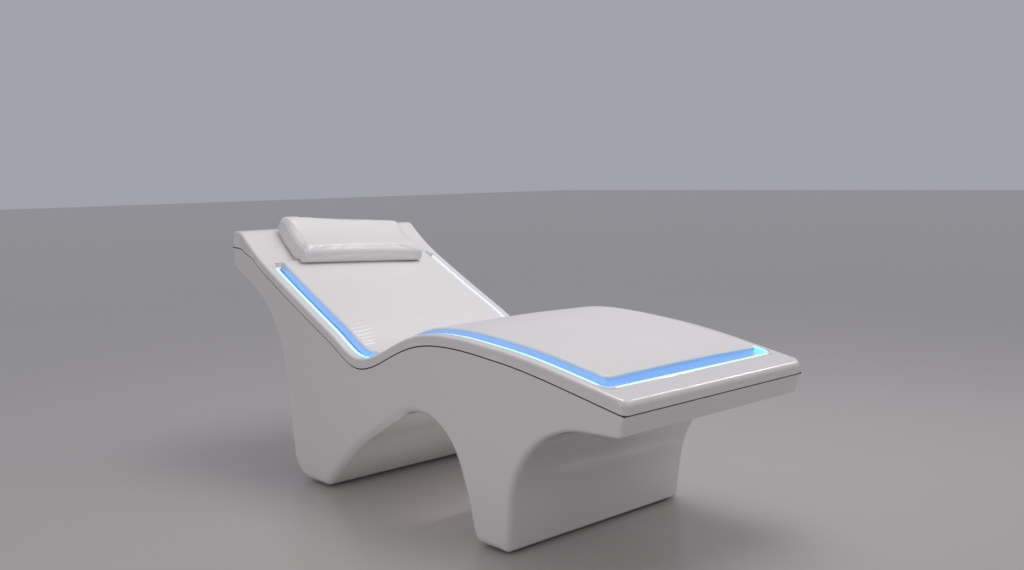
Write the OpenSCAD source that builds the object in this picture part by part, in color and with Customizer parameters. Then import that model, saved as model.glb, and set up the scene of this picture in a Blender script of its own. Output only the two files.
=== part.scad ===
// Spa relaxation lounger: two glossy mouldings joined at a seam, a lit recess round an
// upholstered pad, a contour pillow, and the frame, lighting and mains parts inside.
// X runs along the lounger with the foot end at +X, Y across it, Z up from the floor.

/* [Overall] */
// Length from head end to foot end
lounger_l = 1910; // [1700:10:2150]
// Width at the head rim
lounger_w = 772; // [700:4:860]
// Height of the head rim above the floor
head_h = 851; // [800:1:930]
// Gap between the leg soles and the floor
floor_gap = 6; // [5:0.5:12]

/* [Mouldings] */
// Thickness of the mouldings
wall_t = 6; // [5:0.5:7]
// How far each side leans in from the head rim down to the floor
side_draft = 11; // [4:1:18]
// Rounding between the side faces and the legs, arch and overhangs
edge_r = 24; // [14:1:28]
// Rounding of the upright corners at both ends, seen from above
plan_r = 18; // [10:1:24]
// Rounding of the lower edge at the foot end
apron_edge_r = 10; // [6:1:14]
// Rounding of the long top edges
rim_r = 9; // [5:1:12]
// Rounding of the top edge at the foot end
foot_rim_r = 24; // [14:1:28]
// Rounding of the top edge at the head end
head_rim_r = 26; // [16:1:30]
// Depth of the top moulding's edge along the wave
side_band = 34; // [33:1:40]
// Depth of the top moulding's edge at the head end
head_band = 61; // [50:1:70]
// Depth of the top moulding's edge at the foot end
foot_band = 38; // [35:1:46]
// Height of the shadow gap at the seam
seam_gap = 4; // [3:0.5:5]
// Width of the inner flange along each side of the base
flange_w = 100; // [90:2:110]
// Width of the inner flange at both ends of the base
end_flange_w = 60; // [50:2:80]

/* [Legs] */
// From the head end back to the heel of the rear leg
rear_leg_from_head = 369; // [350:1:400]
// Length of the rear leg's sole
rear_leg_l = 199; // [180:1:230]
// From the foot end back to the toe of the front leg
front_leg_from_foot = 441; // [410:1:470]
// Length of the front leg's sole
front_leg_l = 137; // [125:1:160]

/* [Recess and light] */
// Width of the rim beside the recess
recess_margin = 34; // [32:1:44]
// From the foot end to the recess
recess_foot_margin = 80; // [60:1:100]
// From the head end to the recess
recess_head_margin = 220; // [210:1:240]
// Depth of the recess
recess_d = 16; // [14:0.5:17]
// Rounding of the recess corners, seen from above
recess_r = 30; // [24:1:34]
// Width of the glowing sleeve
sleeve_w = 8; // [7:0.5:10]
// Wall of the glowing sleeve
sleeve_t = 1.4; // [1:0.1:1.6]
// Gap between the sleeve and the pad
channel_w = 24; // [18:1:30]
// Size of a light chip across
chip_w = 3; // [2:0.2:3.4]
// Gap between the light chips across the foot end
chip_pitch = 40; // [20:2:60]

/* [Pad] */
// Thickness of the pad at its shoulder
pad_t = 27; // [24:1:32]
// How much thicker the pad is in the middle
pad_crown = 4; // [2:0.5:8]
// Rounding of the pad's top edge
pad_edge_r = 12; // [8:1:14]
// Rounding of the pad's corners, seen from above
pad_corner_r = 20; // [15:1:26]
// Thickness of the vinyl cover
cover_t = 1.2; // [0.8:0.1:2]
// Thickness of the board under the pad
board_t = 4; // [3:0.5:5]
// Width of the cover's margin folded under the board
cover_fold_w = 40; // [30:2:60]
// Thickness of the grip tapes under the pad
tape_t = 2.4; // [1.8:0.1:3]
// Width of a grip tape
tape_w = 50; // [30:5:60]

/* [Pillow] */
// Width of the pillow across the lounger
pillow_w = 505; // [400:5:600]
// Length of the pillow along the slope
pillow_l = 205; // [190:5:215]
// Thickness of the pillow above the slope
pillow_t = 83; // [70:1:90]
// How far the neck roll reaches over the head end of the pad
pillow_over_pad = 62; // [50:1:70]
// How far the loose pillow lies turned, in degrees
pillow_turn = 5; // [0:0.5:6]

/* [Frame and feet] */
// Thickness of the plywood ribs
rib_t = 15; // [12:1:18]
// Radius of the cable holes in the ribs
cable_hole_r = 12; // [9:1:14]
// Thickness of the plates in the soles
sole_plate_t = 18; // [15:1:22]
// Radius of the levelling studs
stud_r = 4; // [3:0.5:5]
// Length of the levelling studs
stud_l = 40; // [36:1:50]
// Radius of the threaded inserts for the studs
insert_r = 7; // [6:0.5:9]
// Radius of the glides
glide_r = 19; // [14:1:22]
// From the sides in to the levelling feet
foot_from_side = 62; // [50:1:80]

/* [Fasteners] */
// Radius of the bolts that join the mouldings
bolt_r = 3; // [2.5:0.5:4]
// Thickness of the nuts under the flange
nut_t = 6; // [5:0.5:8]
// Radius of the small screws
screw_r = 1.5; // [1.2:0.1:1.8]

/* [Service panel] */
// Width of the service panel
panel_w = 150; // [140:2:170]
// Height of the service panel
panel_h = 92; // [88:2:104]
// Thickness of the service panel
panel_t = 2; // [1.5:0.5:3]
// How far the panel laps over the edge of its opening
panel_lap = 12; // [10:1:14]
// From the heel up the back of the rear leg to the middle of the panel
panel_up = 185; // [170:1:210]
// How far the flanges of the inlet and switch lap over their cut-outs
lip_w = 4; // [3:0.5:5]
// Thickness of those flanges
lip_t = 2; // [1.5:0.5:2.5]

/* [Power inlet and switch] */
// Width of the inlet body
inlet_w = 32; // [30:1:36]
// Height of the inlet body
inlet_h = 40; // [38:1:46]
// Depth of the inlet body behind the panel
inlet_depth = 26; // [25:1:32]
// Width of the inlet's screw ears
ear_w = 9; // [8:0.5:11]
// Width of the socket
socket_w = 24.5; // [24:0.5:26]
// Height of the socket
socket_h = 16.5; // [16:0.5:18]
// Depth of the socket
socket_depth = 17; // [16:0.5:18]
// Width of the fuse drawer
drawer_w = 24; // [23:0.5:26]
// Height of the fuse drawer
drawer_h = 9; // [8.6:0.2:10]
// Length of the fuse drawer
drawer_l = 19; // [18:0.5:21]
// Radius of the fuse link
fuse_r = 2.5; // [2.2:0.1:3]
// Width of the switch
switch_w = 18; // [16:1:22]
// Height of the switch
switch_h = 27; // [24:1:32]
// Depth of the switch behind the panel
switch_depth = 18; // [16:1:24]
// Wall of the switch round its rocker
switch_t = 3; // [2.5:0.5:3.5]
// Tilt of the rocker to each side
rocker_tilt = 8; // [6:1:10]

/* [Lighting electrics] */
// Length of the driver
driver_l = 150; // [120:5:170]
// Width of the driver
driver_w = 44; // [38:1:46]
// Height of the driver
driver_h = 30; // [26:1:34]
// Wall of the driver's case
case_t = 2; // [1.5:0.5:2.5]
// Width of the controller
controller_w = 80; // [70:2:90]
// Depth of the controller
controller_d = 22; // [18:1:24]
// Height of the controller
controller_h = 40; // [36:1:46]
// Length of the screw tabs of the driver and the controller
tab_l = 12; // [10:1:14]
// Radius of the inner leads
lead_r = 2.2; // [1.8:0.1:2.3]

/* [Hidden] */
$fn = 32;
// Clearance between pieces that rest on each other or slide
seat_gap = 0.3;
// Radial clearance of threads and close fits
thread_gap = 0.05;
// Overrun of every cut
over = 2;

head_x = -lounger_l / 2;
foot_x = lounger_l / 2;

// Stations of the lounging surface: [place, height, slope], shares of the length and head height
surface_shares = [
    [-0.5, 1, 0], [-0.47, 0.999, -0.09], [-0.445, 0.962, -1.68], [-0.379, 0.865, -1.19],
    [-0.173, 0.636, -1.08], [-0.088, 0.5535, 0], [0.005, 0.62, 1.03], [0.063, 0.669, 0.62],
    [0.152, 0.691, 0], [0.262, 0.6745, -0.2], [0.366, 0.642, -0.4], [0.5, 0.585, -0.43]];

// Height and slope of a cubic between two stations
function cubic(a, b, x) = let (w = b.x - a.x, t = (x - a.x) / w)
    a.y * (2 * t ^ 3 - 3 * t ^ 2 + 1) + a.z * w * (t ^ 3 - 2 * t ^ 2 + t)
    + b.y * (3 * t ^ 2 - 2 * t ^ 3) + b.z * w * (t ^ 3 - t ^ 2);
function cubic_slope(a, b, x) = let (w = b.x - a.x, t = (x - a.x) / w)
    (b.y - a.y) / w * (6 * t - 6 * t ^ 2) + a.z * (3 * t ^ 2 - 4 * t + 1) + b.z * (3 * t ^ 2 - 2 * t);
function span(x, i = 0) = i >= len(surface_shares) - 2 || x <= surface_shares[i + 1].x ? i : span(x, i + 1);
function surface_z(x) = let (s = x / lounger_l, i = span(s))
    head_h * cubic(surface_shares[i], surface_shares[i + 1], s);
function surface_angle(x) = let (s = x / lounger_l, i = span(s))
    atan(head_h / lounger_l * cubic_slope(surface_shares[i], surface_shares[i + 1], s));
// A point above or below the lounging surface, square to it
function skin(x, lift) = let (a = surface_angle(x))
    [x - lift * sin(a), surface_z(x) + lift * cos(a)];
function ease(t) = t <= 0 ? 0 : t >= 1 ? 1 : t * t * (3 - 2 * t);
// The top moulding's edge is deep at the lip, thins along the back and thickens past the knee
lip_share = 0.03;
lip_fade_share = 0.052;
knee_share = 0.152;
function band(x) = let (s = x / lounger_l)
    side_band + (head_band - side_band) * (1 - ease((s + 0.5 - lip_share) / lip_fade_share))
    + (foot_band - side_band) * ease((s - knee_share) / (0.5 - knee_share));
function seam_z(x) = surface_z(x) - band(x);

// Stations along the lounger that every long piece shares, closer together at the head end
long_steps = 54;
near_share = 0.4;
function station(i) = let (u = i / long_steps) head_x + lounger_l * u * (near_share + (1 - near_share) * u);
// Places from one end to the other, moved in at both ends, with stations clear of the ends between
function places(x0, x1, d = 0, clear = over) = concat([x0 + d],
    [for (i = [1:long_steps - 1]) let (x = station(i)) if (x > x0 + clear && x < x1 - clear) x], [x1 - d]);
function reverse(list) = [for (i = [len(list) - 1:-1:0]) list[i]];
function skin_line(x0, x1, lift) = [for (x = places(x0, x1)) skin(x, lift)];
function seam_line(x0, x1, lift, d = 0) = [for (x = places(x0, x1, d, plan_r + over)) [x, seam_z(x) + lift]];
// Outline of a layer between two heights over the lounging surface
function layer(low, high, x0 = head_x, x1 = foot_x) =
    concat(skin_line(x0, x1, low), reverse(skin_line(x0, x1, high)));
// The flat stretch of a layer's face at a place: the point on it and its slope
function facet(x, i = 0) = station(i + 1) > x ? i : facet(x, i + 1);
function facet_angle(x, lift) = let (i = facet(x), d = skin(station(i + 1), lift) - skin(station(i), lift))
    atan2(d.y, d.x);
function on_facet(x, lift) = let (p = skin(station(facet(x)), lift))
    [x, p.y + (x - p.x) * tan(facet_angle(x, lift))];

// Rounded corners of an outline: each corner is [x, z, radius]
function unit(v) = v / norm(v);
function xz(p) = [p.x, p.y];
function arc(a, b, c, r, steps) = let (u = unit(a - b), v = unit(c - b), half = acos(u * v) / 2,
    m = b + unit(u + v) * r / sin(half), s = b + u * r / tan(half) - m,
    way = cross(u, v) < 0 ? 1 : -1)
    [for (k = [0:steps]) let (t = way * (180 - 2 * half) * k / steps)
        m + [s.x * cos(t) - s.y * sin(t), s.x * sin(t) + s.y * cos(t)]];
// Degrees of an arc that one flat stretch covers
arc_step = 11;
function turn(c, i) = 180 - acos(unit(xz(c[i - 1]) - xz(c[i])) * unit(xz(c[i + 1]) - xz(c[i])));

// Corners of the body below the seam, from the head end round the legs to the foot end. Each is
// [x, z, radius, edge], where edge is the rounding between that corner and the side faces
rear_heel_x = head_x + rear_leg_from_head;
rear_toe_x = rear_heel_x + rear_leg_l;
front_toe_x = foot_x - front_leg_from_foot;
front_heel_x = front_toe_x - front_leg_l;
// Free corners as shares of the head height: [from the nearest end of a sole or of the body, z, radius]
head_chin_shares = [0, 0.838, 0.045];
nape_shares = [-0.0868, 0.666, 0.4];
arch_low_shares = [0.2115, 0.203, 1];
arch_top_shares = [-0.1692, 0.5, 0];
arch_front_shares = [-0.0352, 0.159, 0.47];
calf_shares = [0.0541, 0.452, 0.352];
apron_shares = [-0.0236, 0.472, 0.014];
// Radius of the arch's crown, as a share of the distance between the soles
crown_r_share = 0.2573;
// Radii at the soles, as shares of the head height
heel_r_share = 0.112;
toe_r_share = 0.053;
front_heel_r_share = 0.042;
front_toe_r_share = 0.014;
function corner(x, s, edge) = [x + s.x * head_h, s.y * head_h, s.z * head_h, edge];
crown_r = [0, 0, crown_r_share * (front_heel_x - rear_toe_x), 0];
body_corners = [[head_x, seam_z(head_x), 0, plan_r], corner(head_x, head_chin_shares, plan_r),
    corner(rear_heel_x, nape_shares, edge_r), [rear_heel_x, floor_gap, heel_r_share * head_h, edge_r],
    [rear_toe_x, floor_gap, toe_r_share * head_h, edge_r], corner(rear_toe_x, arch_low_shares, edge_r),
    corner(front_heel_x, arch_top_shares, edge_r) + crown_r, corner(front_heel_x, arch_front_shares, edge_r),
    [front_heel_x, floor_gap, front_heel_r_share * head_h, edge_r],
    [front_toe_x, floor_gap, front_toe_r_share * head_h, edge_r], corner(front_toe_x, calf_shares, plan_r),
    corner(foot_x, apron_shares, apron_edge_r), [foot_x, seam_z(foot_x), 0, plan_r]];

// The corners moved into the body by a depth, and further by each one's own rounding to the sides
function dip(inset, r) = inset >= r ? 0 : r - sqrt(r ^ 2 - (r - inset) ^ 2);
function inward(a, b) = let (d = unit(b - a)) [-d.y, d.x];
function bulges(c, i) = cross(xz(c[i]) - xz(c[i - 1]), xz(c[i + 1]) - xz(c[i])) > 0;
least_r_share = 0.003;
function moved(c, i, d) = let (last = len(c) - 1, p = xz(c[i]))
    i == 0 ? [p.x + d, p.y, 0]
    : i == last ? [p.x - d, p.y, 0]
    : let (n1 = inward(xz(c[i - 1]), p), n2 = inward(p, xz(c[i + 1])), q = p + (n1 + n2) * d / (1 + n1 * n2))
        [q.x, q.y, bulges(c, i) ? max(c[i].z - d, least_r_share * head_h) : c[i].z + d];
function moved_in(depth, inset) = [for (i = [0:len(body_corners) - 1])
    moved(body_corners, i, depth + dip(inset, max(body_corners[i][3] - depth, 0)))];
function body_line(depth, inset) = let (c = moved_in(depth, inset))
    [for (i = [1:len(c) - 2]) each arc(xz(c[i - 1]), xz(c[i]), xz(c[i + 1]), c[i].z,
        max(3, ceil(turn(body_corners, i) / arc_step)))];
// Outline of the body below the seam: the corners and the seam line
function body_outline(depth, inset, top) = let (d = depth + dip(inset, max(plan_r - depth, 0)))
    concat(body_line(depth, inset), reverse(seam_line(head_x, foot_x, top, d)));
// Outline of the space inside the lounger, from the body's inner wall up to the recess tray
tray_low = -recess_d - wall_t;
function inside_outline() = concat(body_line(wall_t, edge_r),
    reverse(skin_line(head_x + wall_t, foot_x - wall_t, tray_low)));

// Half the width at a height
function half_w(z) = lounger_w / 2 - side_draft * (1 - z / head_h);

// A closed outline carried across the lounger
module across(points, half = lounger_w) {
    rotate([90, 0, 0]) linear_extrude(height = 2 * half, center = true) polygon(points);
}

// The space between the two leaning side faces, set in from them
module between_sides(inset) {
    rotate([90, 0, 90]) linear_extrude(height = 2 * lounger_l, center = true)
        polygon([[-half_w(0) + inset, 0], [half_w(0) - inset, 0],
            [half_w(2 * head_h) - inset, 2 * head_h], [-half_w(2 * head_h) + inset, 2 * head_h]]);
}

// A solid through a list of rings with as many points each
module loft(rings) {
    n = len(rings[0]);
    last = len(rings) - 1;
    polyhedron(points = [for (r = rings) each r],
        faces = concat([[for (i = [n - 1:-1:0]) i]], [[for (i = [0:n - 1]) last * n + i]],
            [for (k = [0:last - 1], i = [0:n - 1]) let (a = k * n + i, b = k * n + (i + 1) % n)
                each [[a, b, a + n], [b, b + n, a + n]]]),
        convexity = 10);
}

// Keeps a moulded or padded form at its size as one skin
module as_one() {
    resize([0, 0, 0]) children();
}

// How far in from the side faces each ring of a rounded body stands
edge_steps = 4;
function round_insets(r, steps = edge_steps) = [for (k = [0:steps]) r * (1 - cos(90 * k / steps))];
function side_ring(points, side, inset) = [for (p = points) [p.x, side * (half_w(p.y) - inset), p.y]];
function both_sides(outlines, insets) = let (last = len(insets) - 1) concat(
    [for (k = [0:last]) side_ring(outlines[k], -1, insets[k])],
    [for (k = [last:-1:0]) side_ring(outlines[k], 1, insets[k])]);

// Base moulding

module base_body(depth, top) {
    insets = round_insets(edge_r - depth);
    loft(both_sides([for (t = insets) body_outline(depth, t, top)], [for (t = insets) t + depth]));
}

// Leaves a flange along the sides and ends for the top moulding to be bolted to
module flange_opening() {
    x0 = head_x + end_flange_w;
    x1 = foot_x - end_flange_w;
    across(concat(seam_line(x0, x1, -3 * wall_t), reverse(seam_line(x0, x1, over))),
        lounger_w / 2 - flange_w);
}

module base_shell() {
    color("white") difference() {
        as_one() difference() {
            base_body(0, -seam_gap / 2);
            base_body(wall_t, -seam_gap / 2 - wall_t);
            flange_opening();
        }
        at_bolts(-side_band) cylinder(h = 8 * bolt_boss_r, r = bolt_r + seat_gap, center = true);
        at_feet() cylinder(h = 2 * stud_l, r = stud_r + seat_gap, center = true);
        on_back() {
            cube([panel_h - 2 * panel_lap, panel_w - 2 * panel_lap, 4 * wall_t], center = true);
            at_panel_corners() cylinder(h = 4 * wall_t, r = screw_r + thread_gap, center = true);
        }
    }
}

// Top moulding

// Stations that are clear of the rounded ends
function top_places(clear) = [for (i = [1:long_steps - 1]) let (x = station(i))
    if (x > head_x + clear && x < foot_x - clear) x];
head_round_steps = 4;
foot_round_steps = 8;
function top_outline(end_in, top_in, low) = let (x0 = head_x + end_in, x1 = foot_x - end_in,
    xs = top_places(plan_r + foot_rim_r + over), foot_a = surface_angle(foot_x),
    h = [x0, surface_z(head_x) - top_in],
    f = [x1, surface_z(foot_x) - top_in / cos(foot_a) - end_in * tan(foot_a)])
    concat([[x0, seam_z(x0) + low]],
        arc([x0, 0], h, h + [lounger_l, 0], max(head_rim_r - top_in, least_r_share * head_h),
            head_round_steps),
        [for (x = xs) skin(x, -top_in)],
        arc(skin(xs[len(xs) - 1], -top_in), f, [x1, 0], max(foot_rim_r - top_in, least_r_share * head_h),
            foot_round_steps),
        [[x1, seam_z(x1) + low]],
        reverse([for (x = top_places(plan_r + over)) [x, seam_z(x) + low]]));

top_insets = concat(round_insets(rim_r), [for (t = round_insets(edge_r)) if (t > rim_r + seat_gap) t]);
bolt_boss_r = 2.6 * bolt_r;
bolt_shares = [-0.33, -0.21, -0.09, 0.03, 0.15, 0.28, 0.4];
bolt_y = lounger_w / 2 - flange_w + bolt_boss_r;
// A frame at each bolt, square to the surface, raised from it by a lift
module at_bolts(lift) {
    for (s = bolt_shares, side = [-1, 1]) {
        p = skin(s * lounger_l, lift);
        translate([p.x, side * bolt_y, p.y]) rotate([0, -surface_angle(s * lounger_l), 0]) children();
    }
}

recess_x0 = head_x + recess_head_margin;
recess_x1 = foot_x - recess_foot_margin;
recess_half = lounger_w / 2 - recess_margin;
// Rounded rectangle seen from above; with open_head its head end is square
plan_steps = 6;
function plan(x0, x1, half, r, open_head = false) = concat(
    open_head ? [[x0, -half]] : arc([x0, 0], [x0, -half], [x1, -half], r, plan_steps),
    arc([x0, -half], [x1, -half], [x1, half], r, plan_steps),
    arc([x1, -half], [x1, half], [x0, half], r, plan_steps),
    open_head ? [[x0, half]] : arc([x1, half], [x0, half], [x0, 0], r, plan_steps));
module column(points) {
    linear_extrude(height = 2 * head_h) polygon(points);
}
module recess_block(grown, low) {
    intersection() {
        column(plan(recess_x0 - grown, recess_x1 + grown, recess_half + grown, recess_r + grown));
        across(layer(low, 4 * recess_d));
    }
}

module top_shell() {
    color("white") difference() {
        as_one() difference() {
            loft(reverse(both_sides([for (t = top_insets)
                top_outline(dip(t, plan_r), dip(t, rim_r), seam_gap / 2)], top_insets)));
            difference() {
                intersection() {
                    across(top_outline(wall_t, wall_t, -seam_gap));
                    between_sides(wall_t);
                }
                recess_block(wall_t, tray_low);
                at_bolts(tray_low) cylinder(h = 6 * bolt_boss_r, r = bolt_boss_r, center = true);
            }
            recess_block(0, -recess_d);
        }
        at_bolts(tray_low) {
            cylinder(h = 6 * bolt_boss_r, r = bolt_r + seat_gap, center = true);
            translate([0, 0, wall_t - bolt_r])
                cylinder(h = bolt_r + over, r1 = bolt_r + seat_gap, r2 = 2 * bolt_r + seat_gap + over);
        }
        strip_lead_hole(2 * recess_d);
    }
}

// Gasket, bolts, washers and nuts between the mouldings

gasket_in_share = 0.6;
gasket_in = gasket_in_share * seam_gap;
gasket_w = 2.5 * seam_gap;
module seam_layer(end_in, low, high) {
    x0 = head_x + end_in;
    x1 = foot_x - end_in;
    intersection() {
        across(concat(seam_line(x0, x1, low), reverse(seam_line(x0, x1, high))));
        between_sides(end_in);
    }
}

module seam_gasket() {
    color("black") difference() {
        seam_layer(gasket_in, -seam_gap / 2 + thread_gap, seam_gap / 2 - thread_gap);
        seam_layer(gasket_in + gasket_w, -seam_gap, seam_gap);
    }
}

module shell_washers() {
    color("dimgray") intersection() {
        at_bolts(-side_band) difference() {
            cylinder(h = 6 * bolt_boss_r, r = bolt_boss_r - seat_gap, center = true);
            cylinder(h = 8 * bolt_boss_r, r = bolt_r + seat_gap, center = true);
        }
        seam_layer(gasket_in + gasket_w, -seam_gap / 2 + thread_gap, seam_gap / 2 - thread_gap);
    }
}

// From the surface square down to the nut, with room for the flat stretches of the flange
function nut_drop(s) = (band(s * lounger_l) + seam_gap / 2 + wall_t) * cos(surface_angle(s * lounger_l))
    + 2 * seat_gap;
module shell_bolts() {
    color("silver") for (s = bolt_shares, side = [-1, 1]) {
        p = skin(s * lounger_l, -recess_d);
        shank = nut_drop(s) + nut_t - recess_d;
        translate([p.x, side * bolt_y, p.y]) rotate([0, -surface_angle(s * lounger_l), 0]) {
            translate([0, 0, -shank]) cylinder(h = shank, r = bolt_r);
            translate([0, 0, -bolt_r]) cylinder(h = bolt_r, r1 = bolt_r, r2 = 2 * bolt_r);
        }
    }
}

module shell_nuts() {
    color("silver") for (s = bolt_shares, side = [-1, 1]) {
        p = skin(s * lounger_l, -nut_drop(s) - nut_t);
        translate([p.x, side * bolt_y, p.y]) rotate([0, -surface_angle(s * lounger_l), 0]) difference() {
            cylinder(h = nut_t, r = 1.9 * bolt_r, $fn = 6);
            translate([0, 0, -over]) cylinder(h = nut_t + 2 * over, r = bolt_r + thread_gap);
        }
    }
}

// Ribs and sole plates

rib_half = lounger_w / 2 - flange_w - over;
sole_top = floor_gap + wall_t + sole_plate_t;
arch_rib_share = 0.06;
foot_rib_share = 0.41;
head_rib_x = head_x + recess_head_margin + 1.25 * rib_t;
rear_rib_x = rear_heel_x + 0.43 * rear_leg_l;
front_rib_x = front_heel_x + 0.78 * front_leg_l;
module rib(x) {
    intersection() {
        across(inside_outline(), rib_half);
        translate([x - rib_t / 2, -lounger_w, sole_top]) cube([rib_t, 2 * lounger_w, 2 * head_h]);
    }
}
// Round holes lighten a rib and let leads through
module rib_hole(x, y, z, r) {
    translate([x - rib_t, y, z]) rotate([0, 90, 0]) cylinder(h = 2 * rib_t, r = r);
}
low_hole_z = sole_top + 7 * cable_hole_r;
high_hole_z = 0.56 * head_h;
hand_hole_z = 0.35 * head_h;
hand_hole_r = 0.07 * head_h;

module head_rib() {
    color("burlywood") rib(head_rib_x);
}

module rear_leg_rib() {
    color("burlywood") difference() {
        rib(rear_rib_x);
        rib_hole(rear_rib_x, 0, low_hole_z, cable_hole_r);
        rib_hole(rear_rib_x, -controller_y, high_hole_z, cable_hole_r);
        for (side = [-1, 1]) rib_hole(rear_rib_x, side * rib_half / 2, hand_hole_z, hand_hole_r);
        at_controller_screws() cylinder(h = 2 * rib_t, r = screw_r + thread_gap, center = true);
    }
}

module arch_rib() {
    color("burlywood") rib(arch_rib_share * lounger_l);
}

module front_leg_rib() {
    color("burlywood") difference() {
        rib(front_rib_x);
        for (side = [-1, 1]) rib_hole(front_rib_x, side * rib_half / 2, hand_hole_z, hand_hole_r);
    }
}

module foot_rib() {
    color("burlywood") rib(foot_rib_share * lounger_l);
}

module sole_plate(side) {
    intersection() {
        across(body_line(wall_t, edge_r), half_w(0) - edge_r);
        translate([side > 0 ? 0 : -lounger_l, -lounger_w, 0]) cube([lounger_l, 2 * lounger_w, sole_top]);
    }
}

module rear_sole_plate() {
    color("burlywood") difference() {
        sole_plate(-1);
        at_feet() cylinder(h = 2 * stud_l, r = insert_r, center = true);
        at_driver_screws() cylinder(h = sole_plate_t, r = screw_r + thread_gap, center = true);
    }
}

module front_sole_plate() {
    color("burlywood") difference() {
        sole_plate(1);
        at_feet() cylinder(h = 2 * stud_l, r = insert_r, center = true);
    }
}

// Levelling feet

rear_foot_x = rear_heel_x + 0.66 * rear_leg_l;
front_foot_x = front_heel_x + 0.42 * front_leg_l;
foot_y = half_w(0) - foot_from_side;
module at_feet() {
    for (x = [rear_foot_x, front_foot_x], side = [-1, 1]) translate([x, side * foot_y, 0]) children();
}

module foot_inserts() {
    color("silver") at_feet() translate([0, 0, floor_gap + wall_t]) difference() {
        cylinder(h = sole_plate_t, r = insert_r - thread_gap);
        translate([0, 0, -over]) cylinder(h = sole_plate_t + 2 * over, r = stud_r + thread_gap);
    }
}

// The stud stands in a blind hole of the glide
glide_floor_share = 0.35;
glide_floor_t = glide_floor_share * floor_gap;
module stud(x, side) {
    color("silver") translate([x, side * foot_y, glide_floor_t]) cylinder(h = stud_l, r = stud_r);
}
module stud_rear_near() stud(rear_foot_x, -1);
module stud_rear_far() stud(rear_foot_x, 1);
module stud_front_near() stud(front_foot_x, -1);
module stud_front_far() stud(front_foot_x, 1);

module glide(x, side) {
    color("black") translate([x, side * foot_y, 0]) difference() {
        union() {
            cylinder(h = glide_floor_t, r1 = glide_r - glide_floor_t, r2 = glide_r);
            translate([0, 0, glide_floor_t]) cylinder(h = floor_gap - glide_floor_t, r = glide_r);
        }
        translate([0, 0, glide_floor_t]) cylinder(h = floor_gap, r = stud_r);
    }
}
module glide_rear_near() glide(rear_foot_x, -1);
module glide_rear_far() glide(rear_foot_x, 1);
module glide_front_near() glide(front_foot_x, -1);
module glide_front_far() glide(front_foot_x, 1);

// Light in the recess: a sleeve on three sides with a strip of chips inside

cap_l = 4 * sleeve_t;
sleeve_x0 = recess_x0 + recess_r + over + cap_l;
sleeve_y = recess_half - seat_gap - sleeve_w / 2;
sleeve_top_share = 0.06;
sleeve_top = -sleeve_top_share * recess_d;
strip_lead_x = sleeve_x0 + 2 * lead_r;
strip_low = -recess_d + sleeve_t;
strip_t = 0.3 * sleeve_t;
strip_in = sleeve_t + seat_gap;
chip_t = 0.35 * chip_w;

// A loop round the recess, open at the head end, a distance in from the wall
module light_loop(x0, wall, width, low, high) {
    outer = seat_gap + wall;
    inner = outer + width;
    intersection() {
        difference() {
            column(plan(x0, recess_x1 - outer, recess_half - outer, recess_r - outer, true));
            column(plan(x0 - over, recess_x1 - inner, recess_half - inner, recess_r - inner, true));
        }
        across(layer(low, high));
    }
}

// Round hole for the lead, up from under the tray to a height below the surface
module strip_lead_hole(drop) {
    z = surface_z(strip_lead_x) - drop;
    translate([strip_lead_x, -sleeve_y, z]) cylinder(h = 2 * recess_d - drop / 2, r = lead_r + seat_gap);
}

module led_sleeve() {
    color("deepskyblue") difference() {
        light_loop(sleeve_x0, 0, sleeve_w, -recess_d, sleeve_top);
        light_loop(sleeve_x0 - over, sleeve_t, sleeve_w - 2 * sleeve_t, strip_low, sleeve_top - sleeve_t);
        strip_lead_hole(2 * recess_d);
    }
}

module led_strip() {
    x0 = strip_lead_x + 2 * lead_r;
    color("white") light_loop(x0, strip_in, sleeve_w - 2 * strip_in, strip_low, strip_low + strip_t);
}

module chip_at(x, y) {
    lift = strip_low + strip_t;
    p = on_facet(x, lift);
    translate([x, y, p.y]) rotate([0, -facet_angle(x, lift), 0]) translate([0, 0, chip_t / 2])
        cube([chip_w, chip_w, chip_t], center = true);
}
module led_chips() {
    foot_chips = floor((recess_half - 2 * recess_r) / chip_pitch);
    color("lightyellow") {
        for (i = [0:long_steps - 1], side = [-1, 1]) {
            x = (station(i) + station(i + 1)) / 2;
            if (x > strip_lead_x + recess_r && x < recess_x1 - recess_r) chip_at(x, side * sleeve_y);
        }
        for (k = [-foot_chips:foot_chips]) chip_at(recess_x1 - seat_gap - sleeve_w / 2, k * chip_pitch);
    }
}

module led_end_caps() {
    color("gray") intersection() {
        light_loop(sleeve_x0 - cap_l, 0, sleeve_w, -recess_d, sleeve_top);
        translate([sleeve_x0 - 2 * cap_l, -lounger_w, 0])
            cube([2 * cap_l - thread_gap, 2 * lounger_w, 2 * head_h]);
    }
}

// Pad on its board and grip tapes

// The pad's head end stands square to the slope, so its base reaches further towards the wall
pad_lean_share = 0.6;
pad_x0 = recess_x0 + pad_lean_share * recess_d;
pad_x1 = recess_x1 - sleeve_w - channel_w;
pad_half = recess_half - sleeve_w - channel_w;
pad_low = -recess_d + tape_t + seat_gap;
pad_high = pad_low + pad_t;
tape_half_share = 0.6;
tape_shares = [-0.3, -0.14, 0.02, 0.18, 0.34];

module grip_tapes() {
    color("black") intersection() {
        for (s = tape_shares) translate([s * lounger_l, 0, head_h])
            cube([tape_w, 2 * tape_half_share * pad_half, 2 * head_h], center = true);
        across(layer(-recess_d, -recess_d + tape_t));
    }
}

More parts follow.
